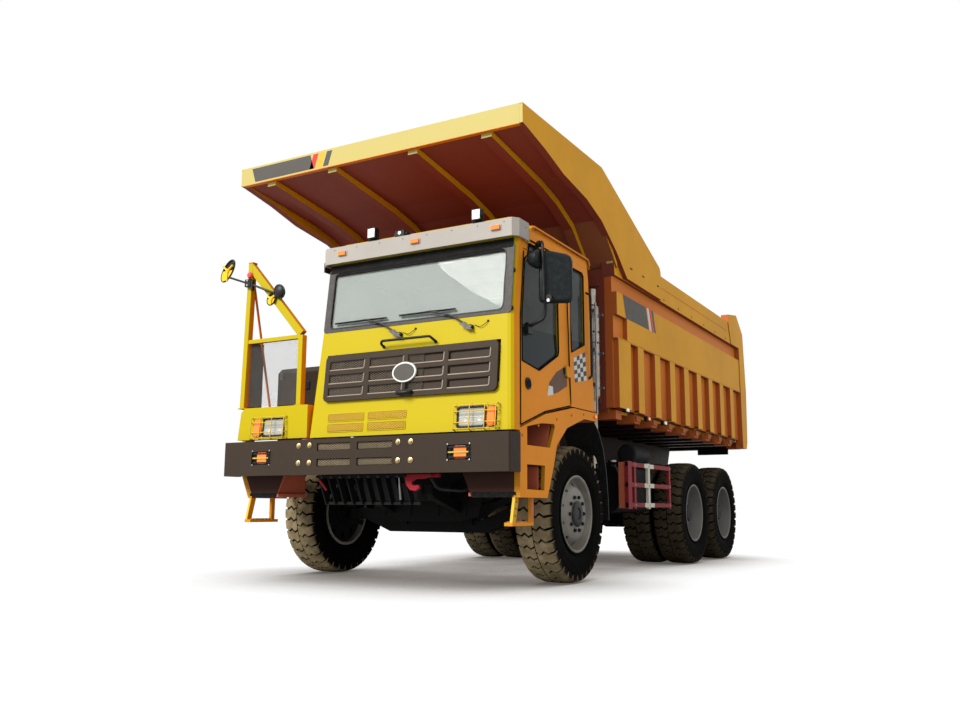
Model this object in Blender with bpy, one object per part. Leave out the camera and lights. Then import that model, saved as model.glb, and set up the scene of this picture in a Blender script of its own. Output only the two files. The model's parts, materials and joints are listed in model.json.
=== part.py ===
"""Six-wheel wide-body mining dump truck: frame, axles, offset hollow cab, deck, tipping bed with canopy, hoists and wheels.

Metres. +Z up, the truck faces -Y, +X is its left side. Lengths along the truck are written from
the front axle, and STATION moves them so that the origin lies under the middle of the truck.
"""

import math

import bpy
import numpy as np

# ---- overall ---------------------------------------------------------------
BUMPER_FRONT = -1.547  # from the front axle
BED_REAR = 6.753
STATION = (BUMPER_FRONT + BED_REAR) / 2
WIDTH_HALF = 2.02  # over the mirrors
GAP = 0.0005  # between pieces fixed to each other
MOVE = 0.006  # between pieces that move past each other

# ---- wheels ----------------------------------------------------------------
TYRE_R = 0.672
SIDES = 24  # facets of a tyre: one of them lies flat on the ground
TYRE_VERTEX_R = TYRE_R / math.cos(math.pi / SIDES)
TYRE_W = 0.385
FRONT_FACE = 1.617  # outer sidewall of a front tyre
REAR_FACE = 1.662
TWIN_PITCH = 0.430
AXLES = (0.0, 3.846, 5.344)
KINGPIN = 1.15
RIM_R = 0.372

# ---- frame -----------------------------------------------------------------
RAIL_IN, RAIL_OUT = 0.36, 0.44
RAIL_Z0, RAIL_Z1 = 0.95, 1.25

# ---- bed -------------------------------------------------------------------
HINGE_Y, HINGE_Z = 5.95, 1.30
BED_X = 1.706  # outer plane of the bed
BED_IN = 1.56
PANEL_X = 1.645  # plane between the ribs
CANOPY_X = 1.733
FLOOR_Z = 1.82
RIB_Y = (1.68, 2.28, 2.87, 3.47, 4.06, 4.65, 5.25, 5.85)
RIB_W = 0.20

# ---- hoists ----------------------------------------------------------------
HOIST_X = 0.62
HOIST_P = (3.0, 0.75)
HOIST_B = (4.35, 1.50)

# ---- cab -------------------------------------------------------------------
CAB_T = 0.045
CAB_RINGS = (  # z, right side, left side, front, rear
    (1.40, -0.650, 1.650, -1.450, 0.465),
    (2.45, -0.590, 1.600, -1.356, 0.460),
    (3.14, -0.585, 1.600, -1.275, 0.420),
    (3.25, -0.580, 1.595, -1.262, 0.410),
)
ROOF_RINGS = (
    (3.2505, -0.580, 1.595, -1.262, 0.410),
    (3.350, -0.575, 1.590, -1.250, 0.395),
    (3.415, -0.500, 1.515, -1.170, 0.320),
)
DOOR_AXIS = (1.668, -1.372)

for old in list(bpy.data.objects):
    bpy.data.objects.remove(old, do_unlink=True)
for old in list(bpy.data.materials):
    bpy.data.materials.remove(old)

SCENE = bpy.context.scene
SCENE.unit_settings.scale_length = 1.0


# ---- shapes: each is (points, faces), closed and facing out -------------------
def outward(points, faces):
    points = [tuple(float(c) for c in p) for p in points]
    volume = 0.0
    for face in faces:
        a = points[face[0]]
        for i in range(1, len(face) - 1):
            b, c = points[face[i]], points[face[i + 1]]
            volume += (
                a[0] * (b[1] * c[2] - b[2] * c[1])
                - a[1] * (b[0] * c[2] - b[2] * c[0])
                + a[2] * (b[0] * c[1] - b[1] * c[0])
            )
    if volume < 0:
        faces = [tuple(reversed(f)) for f in faces]
    return points, [tuple(f) for f in faces]


def hexa(bottom, top):
    """Eight corners: four below, four above in the same order."""
    points = list(bottom) + list(top)
    faces = [(3, 2, 1, 0), (4, 5, 6, 7)]
    for i in range(4):
        j = (i + 1) % 4
        faces.append((i, j, 4 + j, 4 + i))
    return outward(points, faces)


def box(x0, x1, y0, y1, z0, z1):
    return hexa(
        [(x0, y0, z0), (x1, y0, z0), (x1, y1, z0), (x0, y1, z0)],
        [(x0, y0, z1), (x1, y0, z1), (x1, y1, z1), (x0, y1, z1)],
    )


def prism(profile, axis, a, b):
    """A flat outline pushed along an axis: x takes (y, z), y takes (x, z), z takes (x, y)."""

    def place(p, t):
        return {
            "x": (t, p[0], p[1]),
            "y": (p[0], t, p[1]),
            "z": (p[0], p[1], t),
        }[axis]

    n = len(profile)
    points = [place(p, a) for p in profile] + [place(p, b) for p in profile]
    faces = [tuple(reversed(range(n))), tuple(range(n, 2 * n))]
    for i in range(n):
        j = (i + 1) % n
        faces.append((i, j, n + j, n + i))
    return outward(points, faces)


def loft(rings):
    """Closed rings of equal length joined in order, with flat ends."""
    n = len(rings[0])
    points = [p for ring in rings for p in ring]
    faces = [tuple(reversed(range(n)))]
    for k in range(len(rings) - 1):
        for i in range(n):
            j = (i + 1) % n
            a, b, c, d = k * n + i, k * n + j, (k + 1) * n + j, (k + 1) * n + i
            faces += [(a, b, c), (a, c, d)]
    faces.append(tuple(range((len(rings) - 1) * n, len(rings) * n)))
    return outward(points, faces)


def turned(profile, y, z, sides=SIDES, half=True):
    """A closed (x, radius) outline swept about a line along X through (y, z)."""
    points, index = [], []
    for x, r in profile:
        row = []
        if r < 1e-6:
            points.append((x, y, z))
            row = [len(points) - 1] * sides
        else:
            for k in range(sides):
                t = 2 * math.pi * (k + (0.5 if half else 0)) / sides - math.pi / 2
                points.append((x, y + r * math.cos(t), z + r * math.sin(t)))
                row.append(len(points) - 1)
        index.append(row)
    faces = []
    n = len(profile)
    for i in range(n):
        j = (i + 1) % n
        for k in range(sides):
            m = (k + 1) % sides
            face = []
            for v in (index[i][k], index[j][k], index[j][m], index[i][m]):
                if v not in face:
                    face.append(v)
            if len(face) > 2:
                faces.append(tuple(face))
    return outward(points, faces)


def rod(p, q, r, sides=12, r2=None):
    """A round bar between two points."""
    p, q = np.array(p, float), np.array(q, float)
    d = (q - p) / np.linalg.norm(q - p)
    side = np.cross(d, (0, 0, 1.0) if abs(d[2]) < 0.9 else (1.0, 0, 0))
    side /= np.linalg.norm(side)
    up = np.cross(side, d)
    rings = []
    for end, rr in ((p, r), (q, r if r2 is None else r2)):
        rings.append(
            [
                tuple(
                    end
                    + rr
                    * (
                        math.cos(2 * math.pi * (k + 0.5) / sides) * side
                        + math.sin(2 * math.pi * (k + 0.5) / sides) * up
                    )
                )
                for k in range(sides)
            ]
        )
    n = sides
    points = rings[0] + rings[1]
    faces = [tuple(reversed(range(n))), tuple(range(n, 2 * n))]
    for i in range(n):
        j = (i + 1) % n
        faces.append((i, j, n + j, n + i))
    return outward(points, faces)


def flipped(shape):
    """The same shape on the other side of the truck."""
    points, faces = shape
    return outward([(-p[0], p[1], p[2]) for p in points], faces)


def ring_of(z, x0, x1, y0, y1, inset=0.0, front=0.06, rear=0.06):
    """A rounded rectangle at height z, front corners rounder than the rear ones."""
    x0, x1, y0, y1 = x0 + inset, x1 - inset, y0 + inset, y1 - inset
    front, rear = max(front - inset, 0.012), max(rear - inset, 0.012)
    out = []
    for cx, cy, r, start in (
        (x0 + front, y0 + front, front, 180),
        (x1 - front, y0 + front, front, 270),
        (x1 - rear, y1 - rear, rear, 0),
        (x0 + rear, y1 - rear, rear, 90),
    ):
        for step in (0, 30, 60, 90):
            t = math.radians(start + step)
            out.append((cx + r * math.cos(t), cy + r * math.sin(t), z))
    return out


# ---- objects -------------------------------------------------------------------
HELPERS = bpy.data.collections.new("helpers")
SCENE.collection.children.link(HELPERS)
HELPERS.hide_render = True


def material(name, rgb, rough, metal=0.0):
    made = bpy.data.materials.new(name)
    made.use_nodes = True
    bsdf = made.node_tree.nodes["Principled BSDF"]
    bsdf.inputs["Base Color"].default_value = (*rgb, 1.0)
    bsdf.inputs["Roughness"].default_value = rough
    bsdf.inputs["Metallic"].default_value = metal
    return made


def mesh_object(name, shape, origin, collection):
    points, faces = shape
    mesh = bpy.data.meshes.new(name)
    mesh.from_pydata(
        [(p[0] - origin[0], p[1] - origin[1], p[2] - origin[2]) for p in points],
        [],
        faces,
    )
    mesh.validate()
    obj = bpy.data.objects.new(name, mesh)
    obj.location = (origin[0], origin[1] - STATION, origin[2])
    collection.objects.link(obj)
    return obj


COUNT = [0]


def node(name, rgb, steps, origin=(0.0, STATION, 0.0), rough=0.5, metal=0.0, smooth=False):
    """One named solid. steps is a first shape, then ("add" | "cut" | "keep", shapes...)."""
    obj = mesh_object(name, steps[0], origin, SCENE.collection)
    made = material(name, rgb, rough, metal)
    obj.data.materials.append(made)
    for step in steps[1:]:
        kind, shapes = step[0], step[1:]
        COUNT[0] += 1
        group = bpy.data.collections.new(f"group_{COUNT[0]}")
        HELPERS.children.link(group)
        for number, shape in enumerate(shapes):
            helper = mesh_object(
                f"helper_{COUNT[0]}_{number}", shape, (0, STATION, 0), group
            )
            helper.data.materials.append(made)
            helper.hide_render = True
            helper.display_type = "WIRE"
        todo = [group] if kind != "keep" else [None]
        for target in todo:
            mod = obj.modifiers.new(f"{kind}_{COUNT[0]}", "BOOLEAN")
            mod.solver = "EXACT"
            mod.operation = {
                "add": "UNION",
                "cut": "DIFFERENCE",
                "keep": "INTERSECT",
            }[kind]
            if kind == "keep":
                mod.operand_type = "OBJECT"
                mod.object = group.objects[0]
            else:
                mod.operand_type = "COLLECTION"
                mod.collection = target
    if smooth:
        obj.data.shade_smooth()
    return obj


YELLOW = (0.80, 0.33, 0.02)
BLACK = (0.02, 0.02, 0.022)
BROWN = (0.075, 0.055, 0.045)
GREY = (0.12, 0.12, 0.12)
GLASS = (0.35, 0.40, 0.38)
RUBBER = (0.03, 0.028, 0.026)
SILVER = (0.62, 0.60, 0.56)

# ================= chassis =================
rails = []
for s in (-1, 1):
    a, b = sorted((s * RAIL_IN, s * RAIL_OUT))
    rails.append(box(a, b, -1.30, 6.02, RAIL_Z0, RAIL_Z1))
cross = [box(-0.40, 0.40, y - 0.06, y + 0.06, 1.00, 1.20) for y in (-1.20, 0.95, 2.20, 3.30, 5.96)]
hinge_plates, hinge_pins, hoist_plates, hoist_pins = [], [], [], []
for s in (-1, 1):
    a, b = sorted((s * 0.362, s * 0.438))
    hinge_plates.append(
        prism([(5.55, 1.20), (6.03, 1.20), (6.06, 1.30), (6.02, 1.38), (5.88, 1.38), (5.55, 1.26)], "x", a, b)
    )
    a, b = sorted((s * 0.40, s * 0.545))
    hinge_pins.append(rod((a, HINGE_Y, HINGE_Z), (b, HINGE_Y, HINGE_Z), 0.040, 12))
    a, b = sorted((s * 0.362, s * 0.438))
    hoist_plates.append(
        prism([(2.80, 0.98), (2.93, 0.70), (3.07, 0.70), (3.20, 0.98)], "x", a, b)
    )
    a, b = sorted((s * 0.40, s * 0.71))
    hoist_pins.append(rod((a, *HOIST_P), (b, *HOIST_P), 0.030, 12))
node(
    "frame",
    BLACK,
    [rails[0], ("add", rails[1], *cross, *hinge_plates, *hinge_pins, *hoist_plates, *hoist_pins)],
)

# front bumper: a channel with chamfered corners, fog lamp pockets and four slots
bumper_out = [
    (-1.666, -1.35), (-1.666, -1.533), (-1.652, BUMPER_FRONT), (1.652, BUMPER_FRONT), (1.666, -1.533), (1.666, -1.35),
]
bumper_in = [
    (1.60, -1.30), (1.60, -1.47), (1.57, -1.49), (-1.57, -1.49), (-1.60, -1.47), (-1.60, -1.30),
]
slots = []
for z in (1.30, 1.15):
    slots += [box(-0.44, -0.04, -1.60, -1.45, z - 0.035, z + 0.035), box(0.04, 0.44, -1.60, -1.45, z - 0.035, z + 0.035)]
node(
    "front_bumper",
    BROWN,
    [
        prism(bumper_out, "z", 1.035, 1.378),
        ("cut", prism(bumper_in, "z", 1.0, 1.345)),
        ("add", box(-0.435, -0.365, -1.50, -1.3005, 1.05, 1.22), box(0.365, 0.435, -1.50, -1.3005, 1.05, 1.22)),
        ("cut", *slots, box(1.03, 1.28, -1.60, -1.515, 1.145, 1.275), box(-1.28, -1.03, -1.60, -1.515, 1.145, 1.275)),
    ],
)

# slatted guard hanging below the bumper
bars = [
    prism([(-1.45, 1.0345), (-1.32, 0.76), (-1.26, 0.76), (-1.26, 0.80), (-1.36, 1.0345)], "x", a, a + 0.014)
    for a in (-0.503, -0.392, -0.281, -0.170, -0.059, 0.052, 0.163, 0.274, 0.385, 0.496)
]
ties = [box(-0.52, 0.53, -1.452, -1.424, 1.006, 1.030), box(-0.52, 0.60, -1.30, -1.27, 0.752, 0.780)]
node("skid_guard", BLACK, [ties[0], ("add", *bars, ties[1])])

node(
    "engine_block",
    (0.10, 0.10, 0.10),
    [
        box(-0.33, 0.33, -0.95, 0.60, 0.80, 1.60),
        ("add", box(-0.22, 0.22, 0.55, 1.10 - 0.22, 0.88, 1.22), box(-0.33, 0.33, -1.10, -0.94, 1.26, 1.58)),
    ],
)

# front axle: a dropped beam with an eye at each end, and its leaf springs
axle_profile = [
    (-1.10, 0.60), (-0.92, 0.60), (-0.60, 0.47), (0.60, 0.47), (0.92, 0.60), (1.10, 0.60),
    (1.10, 0.72), (0.86, 0.72), (0.56, 0.60), (-0.56, 0.60), (-0.86, 0.72), (-1.10, 0.72),
]
springs = []
for s in (-1, 1):
    a, b = sorted((s * 0.365, s * 0.455))
    springs.append(
        prism(
            [(-0.88, 0.86), (-0.84, 0.82), (-0.40, 0.70), (-0.15, 0.61), (0.15, 0.61), (0.40, 0.70), (0.86, 0.82), (0.92, 0.86), (0.92, 0.9495), (0.84, 0.9495), (0.80, 0.885), (0.40, 0.79), (0.0, 0.76), (-0.40, 0.79), (-0.78, 0.885), (-0.82, 0.9495), (-0.90, 0.9495)],
            "x", a, b,
        )
    )
    springs.append(box(a, b, -0.10, 0.10, 0.55, 0.65))
eyes = [rod((s * KINGPIN, 0, 0.60), (s * KINGPIN, 0, 0.72), 0.062, 12) for s in (-1, 1)]
bores = [rod((s * KINGPIN, 0, 0.50), (s * KINGPIN, 0, 0.80), 0.035, 12) for s in (-1, 1)]
node(
    "front_axle",
    BLACK,
    [prism(axle_profile, "y", -0.075, 0.075), ("add", *eyes, *springs), ("cut", *bores)],
)

for side, s in (("left", 1), ("right", -1)):
    x = s * KINGPIN

    def sx(a, b):
        return sorted((s * a, s * b))

    c0, c1 = sx(KINGPIN - 0.07, KINGPIN + 0.072)
    node(
        f"knuckle_{side}",
        BLACK,
        [
            rod((x, 0, 0.54), (x, 0, 0.78), 0.030, 12),
            (
                "add",
                box(c0, c1, -0.07, 0.07, 0.535, 0.5935),
                box(c0, c1, -0.07, 0.07, 0.7265, 0.785),
                box(*sx(KINGPIN + 0.072, KINGPIN + 0.092), -0.09, 0.09, 0.535, 0.785),
                box(*sx(KINGPIN + 0.05, KINGPIN + 0.08), -0.07, 0.07, 0.535, 0.5935),
                box(*sx(KINGPIN + 0.05, KINGPIN + 0.08), -0.07, 0.07, 0.7265, 0.785),
                rod((s * 1.23, 0, TYRE_R), (s * 1.50, 0, TYRE_R), 0.050, 12),
            ),
        ],
        origin=(x, 0.0, TYRE_R),
    )

for number, y in ((1, AXLES[1]), (2, AXLES[2])):
    node(
        f"rear_axle_{number}",
        BLACK,
        [
            turned(
                [
                    (-1.56, 0), (-1.56, 0.06), (-0.83, 0.06), (-0.83, 0.13), (-0.40, 0.13), (-0.22, 0.24), (0.22, 0.24),
                    (0.40, 0.13), (0.83, 0.13), (0.83, 0.06), (1.56, 0.06), (1.56, 0),
                ],
                y, TYRE_R, 12,
            )
        ],
        smooth=True,
    )

YM = (AXLES[1] + AXLES[2]) / 2
packs = []
for s in (-1, 1):
    a, b = sorted((s * 0.50, s * 0.61))
    packs.append(
        prism(
            [
                (AXLES[1] - 0.16, 0.815), (AXLES[1] + 0.22, 0.815), (YM - 0.22, 0.74), (YM + 0.22, 0.74), (AXLES[2] - 0.22, 0.815), (AXLES[2] + 0.16, 0.815),
                (AXLES[2] + 0.16, 0.87), (YM + 0.55, 0.91), (YM + 0.2, 0.965), (YM - 0.2, 0.965), (YM - 0.55, 0.91), (AXLES[1] - 0.16, 0.87),
            ],
            "x", a, b,
        )
    )
node(
    "rear_suspension",
    BLACK,
    [
        rod((-0.66, YM, 0.80), (0.66, YM, 0.80), 0.085, 16),
        (
            "add", *packs,
            prism([(YM - 0.22, 0.9495), (YM - 0.10, 0.76), (YM + 0.10, 0.76), (YM + 0.22, 0.9495)], "x", 0.365, 0.435),
            prism([(YM - 0.22, 0.9495), (YM - 0.10, 0.76), (YM + 0.10, 0.76), (YM + 0.22, 0.9495)], "x", -0.435, -0.365),
        ),
    ],
)

# ================= cab =================
def cab(inset, rings=CAB_RINGS, below=0.0, above=0.0):
    made = []
    for number, (z, x0, x1, y0, y1) in enumerate(rings):
        if number == 0:
            z -= below
        if number == len(rings) - 1:
            z += above
        made.append(ring_of(z, x0, x1, y0, y1, inset))
    return loft(made)


def front_line(z):
    """Where the front of the cab lies at height z."""
    zs = [r[0] for r in CAB_RINGS]
    return float(np.interp(z, zs, [r[3] for r in CAB_RINGS]))


WRAP = 0.12  # the front panel's return along each side
UNDER = [(-1.33, 1.43), (-0.80, 1.60), (-0.16, 1.72), (0.60, 1.72)]
BELOW = prism([(-1.33, 1.20), *UNDER, (0.60, 1.20)], "x", -0.9, 1.9)
FRONT_ZONE = prism(
    [(-1.70, 1.30), (-1.33, 1.30), (-1.33, 1.40), (front_line(2.45) + WRAP, 2.45), (front_line(3.14) + WRAP, 3.14), (front_line(3.25) + WRAP, 3.25 - GAP), (-1.70, 3.25 - GAP)],
    "x", -0.9, 1.9,
)


def behind(gap):
    """The zone behind the front panel."""
    return prism(
        [(-1.33 + gap, 1.30), (0.335, 1.30), (0.335, 3.25 - GAP), (front_line(3.25) + WRAP + gap, 3.25 - GAP), (front_line(3.14) + WRAP + gap, 3.14), (front_line(2.45) + WRAP + gap, 2.45), (-1.33 + gap, 1.40)],
        "x", -0.9, 1.9,
    )


WINDSHIELD = [(-0.485, 2.47), (1.495, 2.47), (1.495, 3.12), (1.44, 3.165), (-0.43, 3.165), (-0.485, 3.12)]


def shrunk(profile, d):
    """The outline moved inwards by about d, about its middle."""
    cx = (max(p[0] for p in profile) + min(p[0] for p in profile)) / 2
    cy = (max(p[1] for p in profile) + min(p[1] for p in profile)) / 2
    wx = (max(p[0] for p in profile) - min(p[0] for p in profile)) / 2
    wy = (max(p[1] for p in profile) - min(p[1] for p in profile)) / 2
    return [(cx + (p[0] - cx) * (wx - d) / wx, cy + (p[1] - cy) * (wy - d) / wy) for p in profile]


GRILLE = (-0.47, 1.48, 1.77, 2.21)
node(
    "cab_front_panel",
    YELLOW,
    [
        cab(0.0),
        ("cut", cab(CAB_T, below=0.2, above=0.2)),
        ("keep", FRONT_ZONE),
        (
            "cut",
            prism(WINDSHIELD, "y", -1.6, -1.0),
            box(GRILLE[0] - 0.008, GRILLE[1] + 0.008, -1.60, -1.0, GRILLE[2] + 0.06, GRILLE[3] + 0.008),
            box(1.08, 1.37, -1.60, -1.395, 1.43, 1.62),
        ),
    ],
)

LEFT_SPLIT = 1.45
RIGHT_SPLIT = -0.44
DOOR = [
    (-1.33 + 0.004, 1.435), (-0.80, 1.604), (-0.195, 1.718), (-0.195, 3.215), (-1.04, 3.215), (-1.075, 3.095),
    (front_line(3.095) + WRAP + 0.008, 3.095), (front_line(2.45) + WRAP + 0.008, 2.45), (-1.33 + 0.008, 1.46),
]
DOOR_HOLE = [(-1.60, 1.20), (-0.188, 1.20), (-0.188, 3.222), (-1.045, 3.222), (-1.083, 3.102), (-1.60, 3.102)]
WINDOW = [
    (-1.232, 2.03), (-0.88, 1.985), (-0.44, 2.19), (-0.42, 2.24), (-0.42, 3.15), (-0.45, 3.175), (-1.02, 3.175), (-1.055, 3.14), (-1.075, 3.055), (-1.135, 3.01), (-1.195, 2.45),
]
QUARTER = [(-0.115, 2.27), (0.235, 2.40), (0.235, 3.14), (0.20, 3.175), (-0.115, 3.175)]
RIGHT_WINDOW = [(-0.95, 2.20), (0.05, 2.20), (0.10, 2.25), (0.10, 3.08), (0.05, 3.13), (-0.95, 3.13), (-1.0, 3.08), (-1.0, 2.25)]

SIDE_SHELL = [cab(0.0), ("cut", cab(CAB_T, below=0.2, above=0.2))]
node(
    "cab_left_wall",
    YELLOW,
    [
        *SIDE_SHELL,
        ("keep", behind(GAP)),
        (
            "cut",
            box(-0.9, LEFT_SPLIT, -1.6, 0.6, 1.2, 3.4),
            BELOW,
            prism(DOOR_HOLE, "x", 1.3, 1.9),
            prism(QUARTER, "x", 1.3, 1.9),
        ),
    ],
)
node(
    "cab_right_wall",
    YELLOW,
    [
        *SIDE_SHELL,
        ("keep", behind(GAP)),
        ("cut", box(RIGHT_SPLIT, 1.9, -1.6, 0.6, 1.2, 3.4), BELOW, prism(RIGHT_WINDOW, "x", -0.9, -0.3)),
    ],
)
node(
    "cab_rear_wall",
    YELLOW,
    [
        *SIDE_SHELL,
        ("keep", box(-0.9, 1.9, 0.335 + GAP, 0.6, 1.72 + GAP, 3.25 - GAP)),
    ],
)
node(
    "cab_roof",
    YELLOW,
    [
        loft([ring_of(z, x0, x1, y0, y1) for z, x0, x1, y0, y1 in ROOF_RINGS]),
        (
            "cut",
            loft(
                [
                    ring_of(3.0, -0.585, 1.600, -1.275, 0.420, CAB_T + 0.02),
                    ring_of(3.30, -0.577, 1.592, -1.254, 0.399, CAB_T + 0.02),
                    ring_of(3.37, -0.500, 1.515, -1.170, 0.320, CAB_T + 0.02),
                ]
            ),
        ),
    ],
)
node(
    "cab_floor",
    GREY,
    [
        prism([(-1.28, 1.735), (-1.20, 1.735), (0.33, 1.735), (0.33, 1.785), (-1.28, 1.785)], "x", -0.57, 1.575),
        (
            "add",
            box(-0.44, -0.365, -1.24, -1.12, RAIL_Z1 + GAP, 1.76),
            box(0.365, 0.44, -1.24, -1.12, RAIL_Z1 + GAP, 1.76),
            box(-0.44, -0.365, 0.62 - 0.45, 0.62 - 0.30, RAIL_Z1 + GAP, 1.76),
            box(0.365, 0.44, 0.62 - 0.45, 0.62 - 0.30, RAIL_Z1 + GAP, 1.76),
        ),
    ],
)
GLASS_ZONE = [cab(0.016), ("cut", cab(0.024, below=0.2, above=0.2))]
node(
    "windshield",
    GLASS,
    [
        outward(
            [(x, front_line(z) + d, z) for d in (0.016, 0.024) for x, z in shrunk(WINDSHIELD, 0.001)],
            [tuple(reversed(range(6))), tuple(range(6, 12))] + [(i, (i + 1) % 6, 6 + (i + 1) % 6, 6 + i) for i in range(6)],
        )
    ],
    rough=0.1,
)
node("door_glass_left", GLASS, [*GLASS_ZONE, ("keep", prism(shrunk(WINDOW, 0.001), "x", 1.3, 1.9))], origin=(*DOOR_AXIS, 2.3), rough=0.1)
node("quarter_glass", GLASS, [*GLASS_ZONE, ("keep", prism(shrunk(QUARTER, 0.001), "x", 1.3, 1.9))], rough=0.1)
node("right_glass", GLASS, [*GLASS_ZONE, ("keep", prism(shrunk(RIGHT_WINDOW, 0.001), "x", -0.9, -0.3))], rough=0.1)
node(
    "cab_door_left",
    YELLOW,
    [*SIDE_SHELL, ("keep", prism(DOOR, "x", 1.3, 1.9)), ("cut", prism(WINDOW, "x", 1.3, 1.9))],
    origin=(*DOOR_AXIS, 2.3),
)
# mirror on the door: a head on a vertical tube between two arms
node(
    "mirror_left",
    BLACK,
    [
        rod((1.776, -1.045, 2.46), (1.776, -1.045, 3.10), 0.016, 8),
        (
            "add",
            rod((1.776, -1.045, 2.47), (1.640, -1.08, 2.37), 0.016, 8),
            rod((1.776, -1.045, 3.09), (1.640, -0.93, 3.06), 0.016, 8),
            box(1.6015, 1.66, -1.125, -1.035, 2.33, 2.41),
            box(1.6015, 1.65, -0.97, -0.89, 3.03, 3.085),
            hexa(
                [(1.715, -1.055, 2.575), (1.757, -1.134, 2.575), (2.02, -0.995, 2.575), (1.978, -0.915, 2.575)],
                [(1.715, -1.055, 3.0), (1.757, -1.134, 3.0), (2.02, -0.995, 3.0), (1.978, -0.915, 3.0)],
            ),
            hexa(
                [(1.715, -1.055, 2.999), (1.757, -1.134, 2.999), (2.02, -0.995, 2.999), (1.978, -0.915, 2.999)],
                [(1.731, -1.047, 3.085), (1.765, -1.112, 3.085), (1.960, -1.009, 3.035), (1.926, -0.944, 3.035)],
            ),
        ),
    ],
    origin=(*DOOR_AXIS, 2.3),
)
# grille flap, hinged along its top edge
node(
    "front_grille",
    BROWN,
    [
        prism(
            [
                (GRILLE[0] + 0.05, GRILLE[2]), (GRILLE[1] - 0.05, GRILLE[2]), (GRILLE[1], GRILLE[2] + 0.05), (GRILLE[1], GRILLE[3] - 0.05),
                (GRILLE[1] - 0.05, GRILLE[3]), (GRILLE[0] + 0.05, GRILLE[3]), (GRILLE[0], GRILLE[3] - 0.05), (GRILLE[0], GRILLE[2] + 0.05),
            ],
            "y", -1.60, -1.20,
        ),
        (
            "keep",
            prism(
                [
                    (front_line(1.70) - 0.030, 1.70), (front_line(1.70) - 0.008, 1.70), (front_line(2.30) - 0.008, 2.30), (front_line(2.30) - 0.030, 2.30),
                ],
                "x", -0.9, 1.9,
            ),
        ),
    ],
    origin=(0.505, front_line(GRILLE[3]) - 0.012, GRILLE[3] - 0.006),
)
# visor over the windshield
node(
    "roof_visor",
    (0.75, 0.74, 0.72),
    [
        prism(
            [(-0.625, -1.10), (-0.625, -1.29), (-0.565, -1.345), (1.58, -1.345), (1.632, -1.295), (1.632, -1.10), (1.610, -1.10), (1.610, -1.283), (1.572, -1.323), (-0.557, -1.323), (-0.603, -1.283), (-0.603, -1.10)],
            "z", 3.175, 3.345,
        ),
        (
            "add",
            box(-0.50, 1.55, -1.335, -1.265, 3.32, 3.345),
        ),
    ],
    rough=0.4,
)
node(
    "dashboard",
    (0.05, 0.05, 0.05),
    [
        prism([(-1.285, 1.7855), (-1.10, 1.7855), (-0.98, 2.20), (-1.00, 2.36), (-1.20, 2.42), (-1.285, 2.38)], "x", -0.50, 1.51),
        ("add", rod((1.05, -1.03, 2.20), (1.05, -0.86, 2.33), 0.03, 8)),
    ],
)
node(
    "steering_wheel",
    (0.03, 0.03, 0.03),
    [
        rod((1.05, -0.852, 2.336), (1.05, -0.83, 2.353), 0.215, 20),
        ("cut", rod((1.05, -0.88, 2.315), (1.05, -0.80, 2.376), 0.185, 20)),
        ("add", rod((1.05, -0.8575, 2.3319), (1.05, -0.826, 2.356), 0.05, 10), box(0.85, 1.25, -0.852, -0.834, 2.338, 2.352)),
    ],
)
node(
    "driver_seat",
    (0.10, 0.10, 0.11),
    [
        box(0.80, 1.30, -0.62, -0.12, 2.06, 2.20),
        (
            "add",
            box(0.88, 1.22, -0.55, -0.20, 1.7855, 2.08),
            hexa(
                [(0.81, -0.20, 2.10), (1.29, -0.20, 2.10), (1.29, -0.06, 2.10), (0.81, -0.06, 2.10)],
                [(0.84, -0.10, 2.80), (1.26, -0.10, 2.80), (1.26, 0.01, 2.80), (0.84, 0.01, 2.80)],
            ),
            box(0.93, 1.17, -0.085, 0.0, 2.76, 2.98),
        ),
    ],
)

# ================= deck on the right of the cab =================
node(
    "front_deck",
    YELLOW,
    [
        prism(
            [(-1.582, 1.405), (-0.656, 1.405), (-0.656, 1.735), (-1.50, 1.735), (-1.546, 1.69)],
            "y", -1.45, -1.36,
        ),
        (
            "add",
            box(-1.52, -0.66, -1.40, 0.46, 1.685, 1.735),
            box(-0.70, -0.66, -1.40, 0.40, 1.60, 1.70),
            box(-0.74, -0.665, -1.24, -1.12, 1.14, 1.70),
            box(-0.74, -RAIL_OUT - GAP, -1.24, -1.12, 1.06, 1.16),
            box(-0.74, -0.665, 0.70 - 0.40, 0.42, 1.40, 1.70),
            box(-0.74, -RAIL_OUT - GAP, 0.70 - 0.40, 0.42, 1.40, 1.48),
            box(-0.53, -RAIL_OUT - GAP, 0.70 - 0.40, 0.42, 1.10, 1.44),
        ),
        ("cut", box(-1.24, -0.95, -1.60, -1.395, 1.43, 1.62)),
    ],
)
node(
    "deck_box",
    BROWN,
    [
        prism([(-1.02, 1.7355), (-0.25, 1.7355), (-0.25, 2.20), (-0.97, 2.20), (-1.02, 2.15)], "x", -1.45, -0.69),
    ],
)
POST_X = -1.55
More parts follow.
